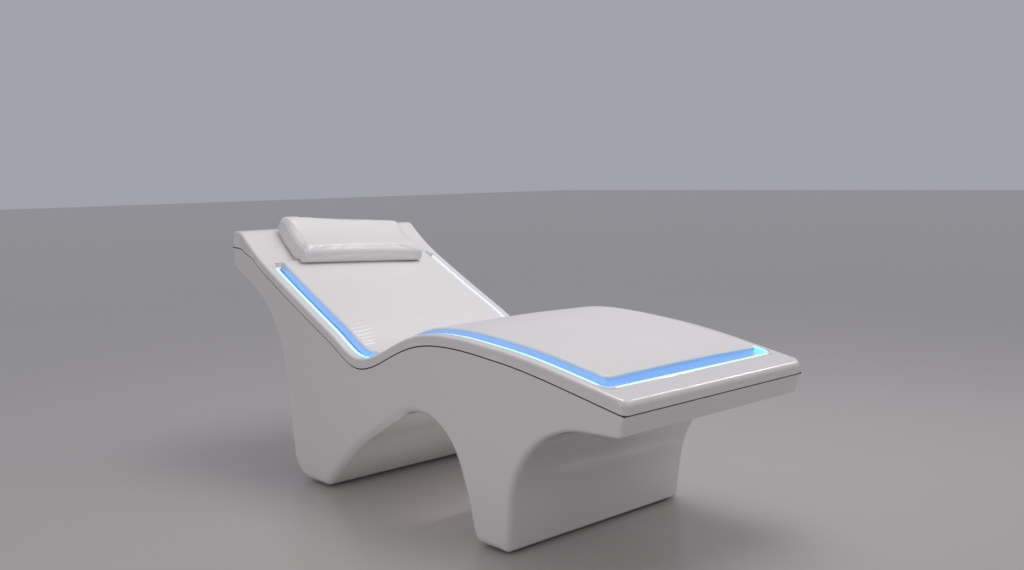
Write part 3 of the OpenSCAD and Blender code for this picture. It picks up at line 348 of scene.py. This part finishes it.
class Number:
    """A socket that takes part in sums and products."""

    def __init__(self, shader, socket):
        self.shader, self.socket = shader, socket

    def math(self, operation, first, second):
        made = self.shader.node("Math", {"operation": operation}, {0: first, 1: second})
        return Number(self.shader, made.outputs[0])

    def __add__(self, other):
        return self.math("ADD", self, other)

    def __mul__(self, other):
        return self.math("MULTIPLY", self, other)

    def __sub__(self, other):
        return self.math("SUBTRACT", self, other)

    def __rsub__(self, other):
        return self.math("SUBTRACT", other, self)

    def __abs__(self):
        return self.math("ABSOLUTE", self, 0)

    def greatest(self, other):
        return self.math("MAXIMUM", self, other)

    def rise(self, low, high):
        """0 below low, 1 above high, eased between."""
        values = {"Value": self, "From Min": low, "From Max": high}
        made = self.shader.node("MapRange", {"interpolation_type": "SMOOTHSTEP"}, values)
        return Number(self.shader, made.outputs[0])

    __radd__, __rmul__ = __add__, __mul__


class Shader:
    """A material with its nodes. Patterns read the piece's own coordinates, in metres."""

    def __init__(self, name, colour, roughness, metallic=0.0):
        self.material = bpy.data.materials.new(name)
        self.material.use_nodes = True
        self.tree = self.material.node_tree
        self.surface = self.tree.nodes["Principled BSDF"]
        self.colour = colour
        self.set("Base Color", (*colour, 1))
        self.set("Roughness", roughness)
        self.set("Metallic", metallic)
        self.places = self.node("TexCoord").outputs["Object"]

    def node(self, kind, settings=None, values=None):
        made = self.tree.nodes.new("ShaderNode" + kind)
        for name, value in (settings or {}).items():
            setattr(made, name, value)
        for name, value in (values or {}).items():
            if isinstance(value, Number):
                value = value.socket
            if isinstance(value, bpy.types.NodeSocket):
                self.tree.links.new(value, made.inputs[name])
            else:
                made.inputs[name].default_value = value
        return made

    def set(self, socket, value):
        self.surface.inputs[socket].default_value = value

    def feed(self, socket, value):
        value = value.socket if isinstance(value, Number) else value
        self.tree.links.new(value, self.surface.inputs[socket])

    def stretched(self, stretch):
        """The coordinates, drawn out along an axis by a larger number."""
        return self.node("Mapping", {}, {"Vector": self.places, "Scale": stretch}).outputs[0]

    def noise(self, scale, detail=2, places=None):
        """A cloudy pattern from 0 to 1."""
        values = {"Vector": places or self.places, "Scale": scale, "Detail": detail}
        return Number(self, self.node("TexNoise", {}, values).outputs["Fac"])

    def cells(self, scale):
        """Distance to the nearest of scattered points, as in grain."""
        values = {"Vector": self.places, "Scale": scale}
        return Number(self, self.node("TexVoronoi", {"feature": "F1"}, values).outputs["Distance"])

    def axis(self, name):
        """One coordinate as a number."""
        return Number(self, self.node("SeparateXYZ", {}, {0: self.places}).outputs[name])

    def blend(self, factor, first, second):
        """Runs from one colour to another as the factor goes from 0 to 1."""
        ends = [colour if isinstance(colour, bpy.types.NodeSocket) else (*colour, 1)
                for colour in (first, second)]
        return self.node("Mix", {"data_type": "RGBA"}, {0: factor, 6: ends[0], 7: ends[1]}).outputs[2]

    def tint(self, factor, other):
        """The base colour runs to another colour where the factor is 1."""
        self.feed("Base Color", self.blend(factor, self.colour, other))

    def vary_roughness(self, low, high, factor):
        self.feed("Roughness", low + factor * (high - low))

    def bump(self, height, depth):
        """Raises the surface by a height, in metres where it is 1."""
        made = self.node("Bump", {}, {"Height": height, "Distance": depth, "Strength": 1.0})
        self.feed("Normal", made.outputs[0])


def dress(piece, material, body):
    """Gives a new piece its material and the body it rides on."""
    piece.data.materials.clear()
    piece.data.materials.append(material)
    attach(piece, body)


gel_coat_colour = (0.80, 0.79, 0.795)
gel_coat = Shader("gel_coat", gel_coat_colour, 0.22)
gel_coat.set("Coat Weight", 1.0)
gel_coat.set("Coat Roughness", 0.04)
gel_coat.set("Specular IOR Level", 0.5)
gel_coat.tint(gel_coat.noise(3.0) * 0.5, (0.77, 0.755, 0.765))
gel_coat.vary_roughness(0.14, 0.24, gel_coat.noise(9.0, 4))
gel_coat.bump(gel_coat.noise(8.0, 1) + 0.01 * gel_coat.noise(240.0, 1), 0.0003)
dress(base_moulding, gel_coat.material, "lounger")
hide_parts("base_shell")


# Top moulding
# The wave that one lies on, moulded in one with its deep edge and a recess for the pad. Its edge
# turns down over the base and stops at the shadow gap.

rim_r = 0.009
foot_rim_r = 0.024
head_rim_r = 0.026
recess_x0, recess_x1 = -0.735, 0.875
recess_half = 0.352
recess_depth = 0.016
recess_r = 0.030
recess_corner_steps = 8
recess_lip_r = 0.0022
# Room for the rounded rims at the ends of the wave
end_clear = 0.044


def top_outline(inset):
    """The side view above the seam at an inset from the side faces: the seam line comes last."""
    end_in, top_in = dip(inset, plan_r), dip(inset, rim_r)
    x0, x1 = head_x + end_in, foot_x - end_in
    inner = [x for x in wave_places if head_x + end_clear < x < foot_x - end_clear
             and min(abs(x - recess_x0), abs(x - recess_x1)) > 3 * recess_lip_r]
    foot_a = surface_angle(foot_x)
    head_corner = Vector((x0, surface_z(head_x) - top_in))
    foot_fall = top_in / math.cos(foot_a) + end_in * math.tan(foot_a)
    foot_corner = Vector((x1, surface_z(foot_x) - foot_fall))
    over = arc(Vector((x0, 0)), head_corner, head_corner + Vector((length, 0)),
               max(head_rim_r - top_in, least_r), 9)
    over += [skin(x, -top_in) for x in inner]
    over += arc(skin(inner[-1], -top_in), foot_corner, Vector((x1, 0)),
                max(foot_rim_r - top_in, least_r), 10)
    return over, seam_line(x0, x1, seam_gap / 2)


top = bmesh.new()
top_insets = sorted(set(round_insets(rim_r, 6) + [t for t in round_insets(plan_r, 6) if t > rim_r]))
top_outlines = [top_outline(inset) for inset in top_insets]
rings = rounded_body(top, [over + seam for over, seam in top_outlines], top_insets)
seam_start = len(top_outlines[0][0])
on_seam = {v for ring in rings for v in ring[seam_start:]}
bmesh.ops.delete(top, geom=[f for f in top.faces if all(v in on_seam for v in f.verts)], context="FACES")


def cut_top(x_low, x_high, y_low, y_high, place, normal):
    """Cuts the upward faces inside a rectangle, seen from above, with an upright plane."""
    near = 1e-5
    faces = []
    for f in top.faces:
        middle = f.calc_center_median()
        if (f.normal.z > 0.3 and x_low - near < middle.x < x_high + near
                and y_low - near < middle.y < y_high + near):
            faces.append(f)
    bmesh.ops.bisect_plane(top, geom=with_borders(faces), dist=1e-7, plane_co=place, plane_no=normal)


reach_y = recess_half + 0.006
for side in (-1, 1):
    cut_top(head_x, foot_x, -reach_y, reach_y, Vector((0, side * recess_half, 0)), Vector((0, 1, 0)))
for x in (recess_x0, recess_x0 + recess_r, recess_x1 - recess_r, recess_x1):
    cut_top(head_x, foot_x, -recess_half, recess_half, Vector((x, 0, 0)), Vector((1, 0, 0)))
for side in (-1, 1):
    cut_top(recess_x0, recess_x1, -recess_half, recess_half,
            Vector((0, side * (recess_half - recess_r), 0)), Vector((0, 1, 0)))
corner_middles = [Vector((x, y, 0)) for x in (recess_x0 + recess_r, recess_x1 - recess_r)
                  for y in (recess_r - recess_half, recess_half - recess_r)]
for middle in corner_middles:
    out = Vector((math.copysign(1, middle.x), math.copysign(1, middle.y), 0))
    for k in range(recess_corner_steps):
        turns = [math.pi / 2 * n / recess_corner_steps for n in (k, k + 1)]
        ends = [middle + recess_r * Vector((out.x * math.cos(a), out.y * math.sin(a), 0)) for a in turns]
        chord = ends[1] - ends[0]
        corner = middle + out * recess_r
        cut_top(min(middle.x, corner.x), max(middle.x, corner.x), min(middle.y, corner.y),
                max(middle.y, corner.y), ends[0], Vector((chord.y, -chord.x, 0)).normalized())


def in_recess(p):
    dx = max(abs(p.x - (recess_x0 + recess_x1) / 2) - (recess_x1 - recess_x0) / 2 + recess_r, 0)
    dy = max(abs(p.y) - recess_half + recess_r, 0)
    return math.hypot(dx, dy) < recess_r * math.cos(math.pi / 4 / recess_corner_steps)


floor_faces = [f for f in top.faces if f.normal.z > 0.3 and in_recess(f.calc_center_median())]
sunk = bmesh.ops.extrude_face_region(top, geom=floor_faces)["geom"]
sunk_verts = {v for v in sunk if isinstance(v, bmesh.types.BMVert)}
bmesh.ops.delete(top, geom=floor_faces, context="FACES")
for v in sunk_verts:
    v.co.z -= recess_depth / math.cos(surface_angle(v.co.x))
top.normal_update()
recess_walls = [f for f in top.faces if 0 < sum(v in sunk_verts for v in f.verts) < len(f.verts)]
wall_edges = {e for f in recess_walls for e in f.edges}
lip_edges = [e for e in wall_edges if not any(v in sunk_verts for v in e.verts)]
foot_edges = [e for e in wall_edges if all(v in sunk_verts for v in e.verts)]
for edges in (lip_edges, foot_edges):
    bmesh.ops.bevel(top, geom=edges, offset=recess_lip_r, segments=3, profile=0.5, affect="EDGES",
                    material=-1, clamp_overlap=False)
bmesh.ops.remove_doubles(top, verts=top.verts, dist=2e-5)
bmesh.ops.dissolve_degenerate(top, edges=top.edges, dist=1e-5)
top_moulding = finished(top, "top_moulding")
add_modifier(top_moulding, "SOLIDIFY", thickness=wall, offset=-1, use_quality_normals=True)
break_edges(top_moulding)
dress(top_moulding, gel_coat.material, "lounger")
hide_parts("top_shell")


# Pad
# One long foam pad on a thin board, covered in soft white vinyl that is pulled tight over its
# edges. It creases where the back meets the seat.

pad_x0, pad_x1 = -0.7254, 0.843
pad_half = 0.320
pad_low, pad_high = -0.0154, 0.0137
pad_crown = 0.004
pad_edge_r = 0.011
pad_corner_r = 0.020
pad_flare = 0.0085
shoulder_steps = 6
crown_steps = 60
pad_spacing = 0.004
crease_x0, crease_x1 = -0.372, -0.125
crease_reach = 0.115
crease_pitch = 0.017
crease_height = 0.0026


def pad_section(half, low, high, crown, radius):
    """The pad's section as (y, lift): flared at its base, rounded at its shoulders, crowned."""
    belly = low + (high - low) * 0.45
    left = [(-half - pad_flare, low), (-half - 0.4 * pad_flare, (low + belly) / 2), (-half, belly)]
    for k in range(1, shoulder_steps + 1):
        a = math.pi / 2 * k / shoulder_steps
        left.append((-half + radius * (1 - math.cos(a)), high - radius * (1 - math.sin(a))))
    flat = half - radius
    spread = [2 * k / crown_steps - 1 for k in range(1, crown_steps)]
    middle = [(flat * s, high + crown * (1 - s * s)) for s in spread]
    under = [(s * (half + pad_flare), low) for s in (0.9, 0.6, 0.2, -0.2, -0.6, -0.9)]
    return left + middle + [(-y, lift) for y, lift in reversed(left)] + under


def pad_creases(x, y):
    """Fine folds across the pad at the bend, strongest near its long edges."""
    bend = ease((x - crease_x0) / 0.06) * ease((crease_x1 - x) / 0.05)
    inward = pad_half - abs(y)
    edge = ease(inward / 0.02) * ease((crease_reach - inward) / 0.09)
    side = 1 if y < 0 else 0.55
    wander = noise.noise(Vector((x * 9, y * 12, 0.3))) * 2.2
    fold = math.sin((x * 2 * math.pi / crease_pitch) + wander * 3)
    strength = 0.5 + 1.1 * noise.noise(Vector((x * 30, y * 22, 7.1)))
    return crease_height * bend * edge * side * max(strength, 0) * fold


def pad_ring(x, from_end):
    fall = dip(from_end, pad_edge_r)
    half = pad_half - dip(from_end, pad_corner_r)
    ring = []
    for y, lift in pad_section(half, pad_low, pad_high - fall, pad_crown, pad_edge_r - fall / 2):
        if lift > pad_high - fall - pad_edge_r:
            lift += pad_creases(x, y) + 0.0006 * noise.noise(Vector((x * 6, y * 6, 2.0)))
        p = skin(x, lift)
        ring.append(Vector((p.x, y, p.y)))
    return ring


end_insets = round_insets(pad_corner_r, 6)
count = round((pad_x1 - pad_x0 - 2 * pad_corner_r) / pad_spacing)
stations = [(pad_x0 + t, t) for t in end_insets]
stations += [(pad_x0 + pad_corner_r + pad_spacing * k, pad_corner_r) for k in range(1, count)]
stations += [(pad_x1 - t, t) for t in reversed(end_insets)]
pad = finished(lofted([pad_ring(*station) for station in stations]), "pad", sharp=70)
add_modifier(pad, "SUBSURF", levels=1, render_levels=1)

vinyl_colour = (0.77, 0.76, 0.765)
vinyl = Shader("white_vinyl", vinyl_colour, 0.3)
vinyl.set("Specular IOR Level", 0.5)
vinyl.set("Coat Weight", 0.25)
vinyl.set("Coat Roughness", 0.12)
# Painted light: the blue glow of the strip beside the pad is painted into the vinyl's colour on its
# upright sides and round its foot corners
across, along = abs(vinyl.axis("Y")), vinyl.axis("X")
painted_glow_side = across.rise(pad_half - 0.003, pad_half - 0.001)
painted_glow_end = along.rise(pad_x1 - 0.003, pad_x1 - 0.001)
painted_glow_corner = (across + along).rise(pad_half + pad_x1 - 0.017, pad_half + pad_x1 - 0.014)
clouded_vinyl = vinyl.blend(vinyl.noise(4.0) * 0.6, vinyl_colour, (0.74, 0.73, 0.735))
vinyl.feed("Base Color", vinyl.blend(
    painted_glow_side.greatest(painted_glow_end).greatest(painted_glow_corner), clouded_vinyl, (0.5, 0.69, 0.77)))
vinyl.vary_roughness(0.28, 0.4, vinyl.noise(14.0, 3))
vinyl.bump(vinyl.cells(700.0) * 0.4 + 0.4 * vinyl.noise(60.0, 3) + 2.0 * vinyl.noise(7.0, 1), 0.0003)
dress(pad, vinyl.material, "pad")
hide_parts("pad_cover", "pad_foam")


# Pillow
# A contour cushion of moulded foam in the same vinyl: a neck roll in front, a shallow dip and a
# rear hump. Its ends are sewn on as separate panels. It is loose and lies a little turned.

pillow_l, pillow_w, pillow_t = 0.205, 0.505, 0.083
pillow_over_pad = 0.062
pillow_x1 = pad_x0 + pillow_over_pad
pillow_x0 = pillow_x1 - pillow_l
pillow_mid_x = pillow_x1 - pillow_l / 2
pillow_turn = math.radians(5)
pillow_slack = 0.0025
seat_gap = 0.0004
# The layer over the pad in which the pillow counts as resting on it
seat_skin = 0.007
step_over = 0.002
step_x = pad_x0 - step_over
over_pad = pad_high + pad_crown + seat_gap
pillow_over_shares = [
    (1, 0.36), (1, 0.58), (0.995, 0.78), (0.97, 0.91), (0.92, 0.98), (0.85, 1), (0.73, 0.98),
    (0.6, 0.94), (0.45, 0.92), (0.32, 0.93), (0.2, 0.96), (0.1, 0.98), (0.03, 0.96), (-0.01, 0.85),
    (-0.02, 0.5), (0, 0.2)]


def pillow_line(step):
    """The pillow's section as (x, lift), with the step under it over the head end of the pad."""
    line = [(pillow_x0 + x * pillow_l, lift * pillow_t) for x, lift in pillow_over_shares]
    return line + [
        (pillow_x0 + 0.05 * pillow_l, seat_gap), (pillow_x0 + 0.25 * pillow_l, seat_gap),
        (step - step_over, seat_gap), (step, 0.3 * over_pad), (step + 2.5 * step_over, 0.85 * over_pad),
        (step + 6 * step_over, over_pad), (pillow_x1 - 0.04 * pillow_l, over_pad)]


def fullness(share):
    """How much of its thickness the pillow keeps at a share of the way to its end."""
    e = min((1 - share) / 0.08, 1)
    return (1 - 0.1 * share ** 3) * (0.78 + 0.22 * math.sqrt(1 - (1 - e) ** 2))


def pillow_ring(share):
    q = fullness(abs(share))
    y = share * (pillow_w / 2 - pillow_slack)
    step = pillow_mid_x + (step_x - pillow_mid_x - y * math.sin(pillow_turn)) / math.cos(pillow_turn)
    along = (0.85 + 0.15 * q) * (1 - 2 * pillow_slack / pillow_l)
    up = 1 - 2 * pillow_slack / (0.7 * pillow_t * q)
    ring = []
    for x, lift in pillow_line(step):
        low = min(over_pad if x > step + step_over else seat_gap, lift)
        middle = low + 0.36 * pillow_t * q
        lift = low if lift == low else middle + (low + (lift - low) * q - middle) * up
        x = step + (x - step) * along - pillow_mid_x
        p = skin(pillow_mid_x + x * math.cos(pillow_turn) + y * math.sin(pillow_turn), lift)
        ring.append(Vector((p.x, y * math.cos(pillow_turn) - x * math.sin(pillow_turn), p.y)))
    return ring


def baked(piece):
    """Applies a piece's modifiers."""
    graph = bpy.context.evaluated_depsgraph_get()
    mesh = bpy.data.meshes.new_from_object(piece.evaluated_get(graph))
    piece.modifiers.clear()
    piece.data = mesh


swell_frames = 20


def puffed(piece, voxel, pressure, cap, held):
    """Swells a cover as its filling does. No point moves by more than a cap, and the points that
    a test picks stay on what carries them."""
    add_modifier(piece, "REMESH", mode="VOXEL", voxel_size=voxel)
    baked(piece)
    rest = [v.co.copy() for v in piece.data.vertices]
    pins = piece.vertex_groups.new(name="held")
    pins.add([v.index for v in piece.data.vertices if held(v.co)], 1.0, "REPLACE")
    settings = add_modifier(piece, "CLOTH").settings
    settings.use_pressure = True
    settings.uniform_pressure_force = pressure
    settings.vertex_group_mass = "held"
    settings.effector_weights.gravity = 0
    for number in range(1, swell_frames + 1):
        bpy.context.scene.frame_set(number)
    baked(piece)
    bpy.context.scene.frame_set(1)
    for v, start in zip(piece.data.vertices, rest):
        moved = v.co - start
        if moved.length > cap:
            v.co = start + moved * cap / moved.length
    for f in piece.data.polygons:
        f.use_smooth = True


def under_pillow(p):
    """True close above the pad and the top moulding."""
    on_pad = over_pad if p.x > pad_x0 else seat_gap
    return p.z < surface_z(p.x) + (on_pad + seat_skin) / math.cos(surface_angle(p.x))


pillow_steps = [0, 0.1, 0.2, 0.3, 0.4, 0.5, 0.6, 0.7, 0.8, 0.87, 0.92, 0.95, 0.975, 0.99, 1]
shares = [-s for s in reversed(pillow_steps)] + pillow_steps[1:]
pillow = finished(lofted([pillow_ring(share) for share in shares]), "pillow", sharp=80)
puffed(pillow, voxel=0.005, pressure=4, cap=0.004, held=under_pillow)

# The end panels are sewn on with a seam that draws the cover in
pillow_seam_y = 0.238
seam_w = 0.004
seam_depth = 0.0016
drawn = bmesh.new()
drawn.from_mesh(pillow.data)
bmesh.ops.subdivide_edges(drawn, edges=drawn.edges, cuts=1, use_grid_fill=True)
drawn.normal_update()
for v in drawn.verts:
    along = (v.co.x - pillow_mid_x) * math.sin(pillow_turn) + v.co.y * math.cos(pillow_turn)
    if not under_pillow(v.co):
        v.co -= v.normal * seam_depth * math.exp(-((abs(along) - pillow_seam_y) / seam_w) ** 2)
drawn.to_mesh(pillow.data)
drawn.free()
add_modifier(pillow, "SUBSURF", levels=1, render_levels=1)
dress(pillow, vinyl.material, "pillow")
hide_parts("pillow_cover", "pillow_core")


# Light in the recess
# A frosted silicone sleeve lies along the outer wall of the recess on three sides, with a strip of light
# chips inside and a grey cap with a painted faint glow on each end.

def repaint(shader, *nodes):
    """Gives carried-over pieces their finish."""
    for name in nodes:
        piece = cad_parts[name]
        piece.data.materials.clear()
        piece.data.materials.append(shader.material)


# It shines cyan at the lip and azure inside it; along the far side of the back a pale lavender glow is
# painted in, standing in for the room light on that channel
azure = (0.0, 0.26, 1.0)
bright_edge = (0.2, 0.78, 1.0)
pale_edge = (0.24, 0.2, 0.24)
pale_azure = (0.2, 0.18, 0.22)
glow = 1.9
light_sleeve = Shader("light_sleeve", (0.65, 0.8, 0.92), 0.5)
along_x, along_y = light_sleeve.axis("X"), light_sleeve.axis("Y")
edge_from, edge_to = 0.0045, 0.0025
outward = abs(along_y).rise(recess_half - edge_from, recess_half - edge_to).greatest(
    along_x.rise(recess_x1 - edge_from, recess_x1 - edge_to))
# Painted light: the far side of the back glows pale, in place of the room light on that channel
far_back_painted_pale = along_y.rise(0, 0.1) * (1 - along_x.rise(0.6, 0.8))
light_sleeve.feed("Emission Color", light_sleeve.blend(
    far_back_painted_pale, light_sleeve.blend(outward, azure, bright_edge),
    light_sleeve.blend(outward, pale_azure, pale_edge)))
light_sleeve.set("Emission Strength", glow)
light_sleeve.bump(light_sleeve.noise(300.0), 0.0001)
repaint(light_sleeve, "led_sleeve")
light_chips = Shader("light_chips", (0.9, 0.92, 0.8), 0.3)
light_chips.set("Emission Color", (*azure, 1))
light_chips.set("Emission Strength", 2.0)
light_chips.vary_roughness(0.2, 0.4, light_chips.noise(900.0))
repaint(light_chips, "led_chips")
strip_tape = Shader("strip_tape", (0.85, 0.85, 0.84), 0.5)
strip_tape.tint(strip_tape.noise(80.0), (0.8, 0.8, 0.78))
repaint(strip_tape, "led_strip")
# The caps are no lamps: a faint lavender glow is painted on them, lightening the ends of the recess
cap_silicone_painted_glow = Shader("cap_silicone_painted_glow", (0.7, 0.71, 0.76), 0.55)
cap_silicone_painted_glow.set("Emission Color", (0.5, 0.55, 0.9, 1))
cap_silicone_painted_glow.set("Emission Strength", 0.8)
cap_silicone_painted_glow.bump(cap_silicone_painted_glow.noise(200.0), 0.0001)
repaint(cap_silicone_painted_glow, "led_end_caps")


# Seam and feet
# A black foam gasket fills the gap between the mouldings, set back from their faces. Four
# levelling feet with black glides screw into the soles.

def plain_finish(name, colour, roughness, metallic=0.0, grain=400.0, depth=0.00005):
    """A finish with a fine grain and a little wear in its gloss."""
    shader = Shader(name, colour, roughness, metallic)
    shader.vary_roughness(roughness * 0.8, roughness * 1.2, shader.noise(grain / 8, 3))
    shader.tint(shader.noise(grain / 20) * 0.5, [c * 0.85 for c in colour])
    shader.bump(shader.noise(grain, 2), depth)
    return shader


gasket_foam = plain_finish("gasket_foam", (0.05, 0.047, 0.045), 0.8, grain=1200.0, depth=0.0002)
repaint(gasket_foam, "seam_gasket", "shell_washers")
black_glide = plain_finish("black_glide", (0.025, 0.025, 0.027), 0.45)
zinc = plain_finish("zinc_steel", (0.62, 0.62, 0.6), 0.35, 1.0, 900.0)
feet = [f"{end}_{side}" for end in ("rear", "front") for side in ("near", "far")]
repaint(black_glide, *[f"glide_{foot}" for foot in feet])
repaint(zinc, *[f"stud_{foot}" for foot in feet], "foot_inserts", "shell_bolts", "shell_nuts",
        "panel_screws", "inlet_screws", "driver_screws", "controller_screws")


# Service panel
# A powder-coated plate closes the opening at the back of the rear leg. It carries the mains
# inlet with its fuse drawer, and the power switch.

panel_coat = plain_finish("panel_coat", (0.72, 0.72, 0.72), 0.5, grain=1500.0, depth=0.0001)
repaint(panel_coat, "service_panel")
moulded_black = plain_finish("moulded_black", (0.03, 0.03, 0.032), 0.5, grain=1500.0, depth=0.0001)
repaint(moulded_black, "inlet_body", "fuse_drawer", "switch_body", "led_controller")
rocker_gloss = plain_finish("rocker_gloss", (0.04, 0.04, 0.042), 0.2)
repaint(rocker_gloss, "power_rocker")
contact_metal = plain_finish("contact_metal", (0.75, 0.66, 0.42), 0.3, 1.0, 900.0)
repaint(contact_metal, "inlet_pins")
fuse_glass = plain_finish("fuse_glass", (0.85, 0.9, 0.92), 0.1)
fuse_glass.set("Transmission Weight", 0.6)
repaint(fuse_glass, "fuse_link")


# Inside
# Birch plywood ribs and sole plates carry the shell. The driver and the controller of the light
# hang on them, with their leads.

birch = Shader("birch_plywood", (0.62, 0.45, 0.28), 0.6)
grain = birch.noise(18.0, 4, birch.stretched((1, 8, 8)))
birch.tint(grain, (0.48, 0.32, 0.18))
birch.vary_roughness(0.5, 0.7, grain)
birch.bump(grain, 0.0003)
repaint(birch, "head_rib", "rear_leg_rib", "arch_rib", "front_leg_rib", "foot_rib",
        "rear_sole_plate", "front_sole_plate", "pad_board")
case_aluminium = plain_finish("case_aluminium", (0.75, 0.76, 0.77), 0.35, 1.0, 700.0)
repaint(case_aluminium, "led_driver", "driver_cover")
circuit_board = plain_finish("circuit_board", (0.03, 0.2, 0.09), 0.3)
repaint(circuit_board, "driver_board")
grip_tape = plain_finish("grip_tape", (0.03, 0.03, 0.03), 0.9, grain=1500.0, depth=0.0004)
repaint(grip_tape, "grip_tapes")
lead_sheath = plain_finish("lead_sheath", (0.035, 0.035, 0.035), 0.5)
repaint(lead_sheath, "mains_lead", "switch_lead", "driver_lead", "strip_lead")


# Floor, backdrop and lights
# A plain pale floor under a wide soft light, with a weaker one from the near side, a small one in
# the arch and a narrow one that draws the foot rim. The camera, gloss and glass see a plain backdrop.

floor_mesh = bmesh.new()
floor_half = 40.0
bmesh.ops.create_grid(floor_mesh, x_segments=1, y_segments=1, size=floor_half)
studio_floor = finished(floor_mesh, "studio_floor")
floor_paint = Shader("floor_paint", (0.46, 0.444, 0.436), 0.22)
floor_paint.tint(floor_paint.noise(0.8, 3) * 0.6, (0.43, 0.414, 0.406))
studio_floor.data.materials.append(floor_paint.material)

world = bpy.data.worlds.new("studio")
world.use_nodes = True
sky = world.node_tree
ambient = sky.nodes["Background"]
ambient.inputs["Color"].default_value = (0.47, 0.455, 0.462, 1)
ambient.inputs["Strength"].default_value = 0.94
seen = sky.nodes.new("ShaderNodeBackground")
seen.inputs["Color"].default_value = (0.36, 0.365, 0.41, 1)
ray = sky.nodes.new("ShaderNodeLightPath")
which = sky.nodes.new("ShaderNodeMixShader")
factor = ray.outputs["Is Camera Ray"]
for kind in ("Is Glossy Ray", "Is Transmission Ray"):
    either = sky.nodes.new("ShaderNodeMath")
    sky.links.new(factor, either.inputs[0])
    sky.links.new(ray.outputs[kind], either.inputs[1])
    factor = either.outputs[0]
sky.links.new(factor, which.inputs[0])
sky.links.new(ambient.outputs[0], which.inputs[1])
sky.links.new(seen.outputs[0], which.inputs[2])
sky.links.new(which.outputs[0], sky.nodes["World Output"].inputs["Surface"])
bpy.context.scene.world = world


def soft_light(name, place, target, width, height, watts, colour=(1, 1, 1)):
    data = bpy.data.lights.new(name, "AREA")
    data.shape, data.size, data.size_y = "RECTANGLE", width, height
    data.energy, data.color = watts, colour
    lamp = bpy.data.objects.new(name, data)
    lamp.location = place
    lamp.rotation_euler = (Vector(target) - Vector(place)).to_track_quat("-Z", "Y").to_euler()
    bpy.context.scene.collection.objects.link(lamp)
    return lamp


soft_light("overhead", (0.35, 0.6, 3.0), (0, 0, 0.4), 2.2, 1.6, 39, (1, 0.985, 0.985))
soft_light("side_fill", (0.7, -4.2, 1.5), (0, 0, 0.4), 2.4, 1.4, 15, (1, 0.97, 0.965))
arch_fill = soft_light("arch_fill", (0.22, -0.05, 0.07), (-0.18, -0.05, 0.47), 0.6, 0.08, 0.7,
                       (1, 0.96, 0.94))
arch_fill.visible_camera = False
arch_fill.visible_glossy = False
soft_light("rim_strip", (1.65, 2.85, 2.6), (0.9, 0, 0.5), 0.06, 1.2, 9)

bpy.context.scene.view_settings.view_transform = "Standard"
